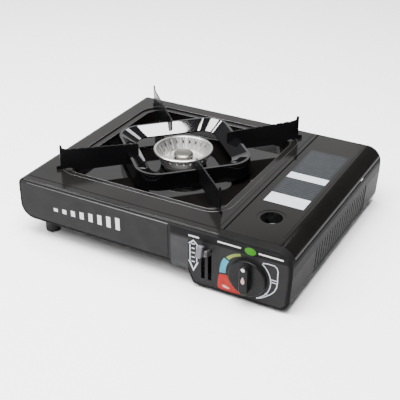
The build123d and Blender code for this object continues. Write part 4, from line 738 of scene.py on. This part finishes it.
@dataclass
class ControlPrint:
    """Printed scale round the knob, with the rules over it, the lever's arrow, and a painted highlight on the scale's
    red end.
    """

    header: Limits = (31.4, 167.0, 60.4, 69.0)
    patch: Limits = (32.0, 53.0, 21.0, 58.0)
    oval_at: Point2 = (125.4, 64.9)
    oval_half: Point2 = (6.4, 4.3)
    rules: tuple[Limits, ...] = ((88.0, 114.6, 64.95, 66.65), (134.8, 162.0, 64.35, 66.05))
    red_highlight: tuple[Point2, ...] = ((93.5, 13.6), (96.0, 11.2), (101.5, 10.8), (103.0, 12.2), (97.0, 14.4))
    green_arc: tuple[Point3, Point3] = ((112.0, 23.6, 26.6), (149.0, 26.2, 30.2))
    cyan_arc: tuple[Point3, Point3] = ((153.0, 25.2, 31.6), (189.0, 26.4, 33.6))
    arc_steps: int = 14
    wedge_radius: float = 25.0
    wedge_turn: tuple[float, float, int] = (194.0, 252.0, 12)
    wedge_rim: tuple[Point2, ...] = ((115.0, 8.4), (104.0, 7.8), (94.0, 8.0), (89.0, 9.0), (88.4, 12.0),
                                     (88.9, 19.0), (90.4, 26.6))
    line: float = 1.0
    crescent_turn: tuple[float, float, int] = (53.0, -67.0, 26)
    crescent_radii: Point2 = (24.6, 25.6)
    crescent_rim: tuple[Point2, ...] = ((139.6, 55.5), (146.0, 56.4), (152.4, 56.2), (155.4, 54.0), (156.6, 50.0),
                                        (156.4, 44.0), (156.5, 37.0), (155.8, 31.0), (153.4, 25.0), (149.2, 20.2),
                                        (144.2, 16.0), (139.0, 12.4), (133.6, 10.0))
    cross_bars: tuple[Limits, ...] = ((148.6, 156.2, 38.1, 39.1), (148.6, 156.2, 35.1, 36.1))
    low_bar: tuple[Point2, ...] = ((143.4, 20.0), (146.6, 17.6))
    lever_x: float = 59.6
    arrow_sides: tuple[Limits, ...] = ((-4.6, -3.5, 33.0, 53.0), (3.5, 4.6, 33.0, 53.0))
    arrow_ticks: tuple[float, ...] = (31.5, 37.0, 42.5, 48.0, 53.5)
    tick: Point2 = (-2.2, 1.6)
    tick_h: float = 1.3
    arrow_up: tuple[Point2, ...] = ((-6.2, 53.6), (0.0, 59.4), (6.2, 53.6), (4.2, 53.6), (0.0, 57.4), (-4.2, 53.6))
    arrow_down: tuple[Point2, ...] = ((-6.2, 32.6), (-4.2, 32.6), (0.0, 23.4), (4.2, 32.6), (6.2, 32.6), (0.0, 19.8))
    arrow_rule: Limits = (-5.8, 6.8, 62.4, 64.3)

    def build(self) -> None:
        """Build each colour of the print."""
        self._ink("panel_header", Palette.HEADER, [bar(*self.header)], THIN_INK)
        self._ink("panel_patch", Palette.PANEL_PATCH, [bar(*self.patch)], THIN_INK)
        self._ink("scale_green", Palette.OLIVE, [self._arc(*self.green_arc)])
        self._ink("scale_cyan", Palette.CYAN, [self._arc(*self.cyan_arc)])
        self._ink("scale_red", Palette.RED, [self._wedge()])
        # painted highlight: a pale pink streak on the red end of the scale
        self._ink("scale_red_highlight", Palette.PINK, [list(self.red_highlight)], THICK_INK)
        self._ink("green_oval", Palette.GREEN, [oval(*self.oval_at, *self.oval_half)], THICK_INK)
        self._ink("panel_rules", Palette.WHITE, [bar(*rule) for rule in self.rules], THICK_INK)
        self._ink("flame_crescent", Palette.PALE, self._crescent())
        self._ink("lever_arrow", Palette.PALE, self._arrow(), THICK_INK)

    def _ink(self, name: str, finish: Finish, shapes: list[list[Point2]], proud: float = INK) -> None:
        """Print shapes in one colour.

        Args:
            name: The piece's name.
            finish: The ink.
            shapes: Outlines in millimetres.
            proud: Thickness of the ink in millimetres.
        """
        Print(name, "stove", finish, "panel_paint", FRONT_Y, True, proud, shapes).build()

    def _arc(self, first: Point3, last: Point3) -> list[Point2]:
        """Outline a stretch of the scale.

        Args:
            first: Angle in degrees, inner radius and outer radius where it starts.
            last: The same where it ends.

        Returns:
            The outline.
        """
        shares = spread(0.0, 1.0, self.arc_steps)
        return band(KNOB_X, KNOB_Z, [tuple(a + (b - a) * share for a, b in zip(first, last)) for share in shares])

    def _wedge(self) -> list[Point2]:
        """Outline the swelling end of the scale, under and to the left of the knob.

        Returns:
            The outline.
        """
        turns = [math.radians(a) for a in spread(*self.wedge_turn)]
        inner = [(KNOB_X + self.wedge_radius * math.cos(a), KNOB_Z + self.wedge_radius * math.sin(a)) for a in turns]
        return [*inner, *self.wedge_rim]

    def _crescent(self) -> list[list[Point2]]:
        """Outline the crescent on the knob's right, which narrows downwards, with its cross bars.

        Returns:
            The outlines.
        """
        inner = band(KNOB_X, KNOB_Z, [(a, *self.crescent_radii) for a in spread(*self.crescent_turn)])
        bars = [bar(*limits) for limits in self.cross_bars]
        return [inner, stroke(self.crescent_rim, self.line), *bars, stroke(self.low_bar, self.line)]

    def _arrow(self) -> list[list[Point2]]:
        """Outline an upright double arrow beside the lever, with ticks in it and a short rule over it.

        Returns:
            The outlines.
        """
        sides = [bar(*limits) for limits in self.arrow_sides]
        ticks = [bar(*self.tick, z, z + self.tick_h) for z in self.arrow_ticks]
        shapes = [*sides, *ticks, self.arrow_up, self.arrow_down, bar(*self.arrow_rule)]
        return [[(self.lever_x + u, v) for u, v in shape] for shape in shapes]


@dataclass
class Rows:
    """Thin ruled rows on the label, repeated by a geometry tree."""

    name: str
    across: Point2
    along: Point2
    count: int
    top_z: float
    thick: float = 1.1
    ink: float = 0.04

    def build(self) -> None:
        """Build the rows as one piece."""
        x0, x1 = self.across
        y0, y1 = self.along
        tree = GeometryTree(self.name)
        length = tree.number("Length", (x1 - x0) * MM)
        depth = tree.number("Depth", self.thick * MM)
        pitch = tree.number("Pitch", (y1 - y0) / (self.count - 1) * MM)
        count = tree.number("Count", self.count)
        start = tree.vector((x0 + x1) / 2 * MM, (y0 + CASE_SHIFT) * MM, (self.top_z + self.ink / 2) * MM)
        line = tree.line(count, tree.vector(0.0, pitch, 0.0), start)
        rows = tree.boxes(line, tree.vector(length, depth, self.ink * MM))
        new_piece(self.name, tree.mesh([rows], Palette.GREY), "lid", Palette.GREY)


@dataclass
class LidPrint:
    """Print on the lid's sticker: title bars, and ruled rows where instructions would be."""

    top_z: float = 74.15
    bars: tuple[Limits, ...] = ((98.6, 145.4, -50.0, -28.0), (98.6, 145.4, 12.0, 26.0))
    bar_ink: float = 0.05
    rows_x: Point2 = (101.0, 143.0)
    front_rows: Point2 = (-24.0, 8.0)
    front_count: int = 9
    rear_rows: Point2 = (30.0, 84.0)
    rear_count: int = 15

    def build(self) -> None:
        """Build the pale bars and the ruled rows."""
        bars = [bar(x0, x1, y0 + CASE_SHIFT, y1 + CASE_SHIFT) for x0, x1, y0, y1 in self.bars]
        Print("label_bars", "lid", Palette.PALE, "label_print", self.top_z, False, self.bar_ink, bars).build()
        Rows("label_rows_front", self.rows_x, self.front_rows, self.front_count, self.top_z).build()
        Rows("label_rows_rear", self.rows_x, self.rear_rows, self.rear_count, self.top_z).build()


@dataclass
class KnobMarks:
    """Paint in the pockets of the knob's pointer bar: a dot, and a plain drop for the flame."""

    pocket_y: float = FRONT_Y - 13.7
    paint: float = 0.12
    dot_up: float = 15.8
    dot_r: float = 2.24
    drop_up: float = 3.0
    drop: tuple[Point2, ...] = ((0.0, 4.4), (0.7, 3.2), (1.6, 1.2), (2.1, -0.8), (1.9, -2.6), (1.1, -3.9), (0.0, -4.4))

    def build(self) -> None:
        """Build the dot at the pointer's end and the drop in its middle."""
        middle = KNOB_Z + self.drop_up
        right = [(KNOB_X + u, middle + v) for u, v in self.drop]
        left = [(KNOB_X - u, middle + v) for u, v in self.drop[-2:0:-1]]
        self._mark("knob_dot", Palette.WHITE, oval(KNOB_X, KNOB_Z + self.dot_up, self.dot_r, self.dot_r))
        self._mark("knob_flame", Palette.PINK, right + left)

    def _mark(self, name: str, finish: Finish, outline: list[Point2]) -> None:
        """Paint one mark on the pocket's floor."""
        Print(name, "knob", finish, "knob_plastic", self.pocket_y, True, self.paint, [outline]).build()


@dataclass(frozen=True)
class SoftBox:
    """One soft light: where it stands, where it points, its size in metres and its power in watts."""

    name: str
    place: Point3
    aim: Point3
    size: Point2
    power: float

    def build(self) -> None:
        """Hang the light."""
        data = bpy.data.lights.new(self.name, "AREA")
        data.shape = "RECTANGLE"
        data.size, data.size_y = self.size
        data.energy = self.power
        lamp = bpy.data.objects.new(self.name, data)
        bpy.context.scene.collection.objects.link(lamp)
        lamp.location = self.place
        lamp.rotation_mode = "QUATERNION"
        lamp.rotation_quaternion = (Vector(self.aim) - Vector(self.place)).to_track_quat("-Z", "Y")


@dataclass
class Studio:
    """Pale floor, soft lights and the camera, all in metres. Only the lens and the sensor are in millimetres."""

    boxes: tuple[SoftBox, ...] = (
        SoftBox("overhead", (0.05, -0.38, 1.6), (0.0, 0.0, 0.05), (1.2, 1.0), 112.0),
        SoftBox("ring_spot", (0.016, 0.305, 1.5), (0.016, 0.304, 0.0), (0.152, 0.23), 7.0),
        SoftBox("ring_corner", (-0.69, 0.45, 1.5), (-0.03, 0.05, 0.08), (0.16, 0.46), 11.0),
        SoftBox("ring_strip", (-1.26, 0.67, 1.56), (-0.03, 0.05, 0.08), (0.26, 0.12), 5.0),
        SoftBox("back_box", (-0.04, 1.22, 1.39), (-0.05, 0.0, 0.07), (0.30, 0.30), 4.0),
        SoftBox("backdrop", (-1.22, 1.80, 0.94), (-0.1, 0.0, 0.07), (1.7, 1.10), 6.6),
        SoftBox("front_box", (0.45, -1.35, 1.3), (0.0, 0.0, 0.03), (0.9, 0.9), 12.0),
        SoftBox("left_front", (-1.02, -1.00, 1.42), (-0.05, -0.1, 0.06), (0.9, 0.7), 38.0),
    )
    camera_at: Point3 = (0.43138, -0.7940, 0.53775)
    azimuth: float = 28.74
    elevation: float = 29.54
    lens: float = 77.57
    sensor: float = 36.0
    room: float = 0.22              # strength of the dim light from all round
    floor_half: float = 6.0

    def build(self) -> None:
        """Build the floor, the lights and the camera."""
        self._floor()
        self._world()
        for box in self.boxes:
            box.build()
        self._camera()

    def _floor(self) -> None:
        """Build the floor as one wide plane under the feet."""
        made = bmesh.new()
        bmesh.ops.create_grid(made, x_segments=1, y_segments=1, size=self.floor_half)
        mesh = bpy.data.meshes.new("studio_floor")
        made.to_mesh(mesh)
        made.free()
        mesh.materials.append(Palette.FLOOR.material())
        floor = bpy.data.objects.new("studio_floor", mesh)
        bpy.context.scene.collection.objects.link(floor)

    def _world(self) -> None:
        """Surround the scene with a dim room."""
        world = bpy.data.worlds.new("studio")
        world.use_nodes = True
        background = world.node_tree.nodes["Background"]
        background.inputs["Color"].default_value = (1.0, 1.0, 1.0, 1.0)
        background.inputs["Strength"].default_value = self.room
        bpy.context.scene.world = world

    def _camera(self) -> None:
        """Add the camera and make it the scene's."""
        data = bpy.data.cameras.new("camera")
        data.sensor_width = self.sensor
        data.lens = self.lens
        camera = bpy.data.objects.new("camera", data)
        bpy.context.scene.collection.objects.link(camera)
        a, e = math.radians(self.azimuth), math.radians(self.elevation)
        ahead = Vector((-math.sin(a) * math.cos(e), math.cos(a) * math.cos(e), -math.sin(e)))
        camera.location = self.camera_at
        camera.rotation_mode = "QUATERNION"
        camera.rotation_quaternion = ahead.to_track_quat("-Z", "Y")
        bpy.context.scene.camera = camera


def main() -> None:
    """Build the stove's looks in order."""
    logging.basicConfig(level=logging.INFO)
    CarriedNodes().build()
    StepBeads().build()
    FrontPrint().build()
    PanelEdgeHighlight().build()
    ControlPrint().build()
    LidPrint().build()
    KnobMarks().build()
    Studio().build()


if __name__ == "__main__":
    main()
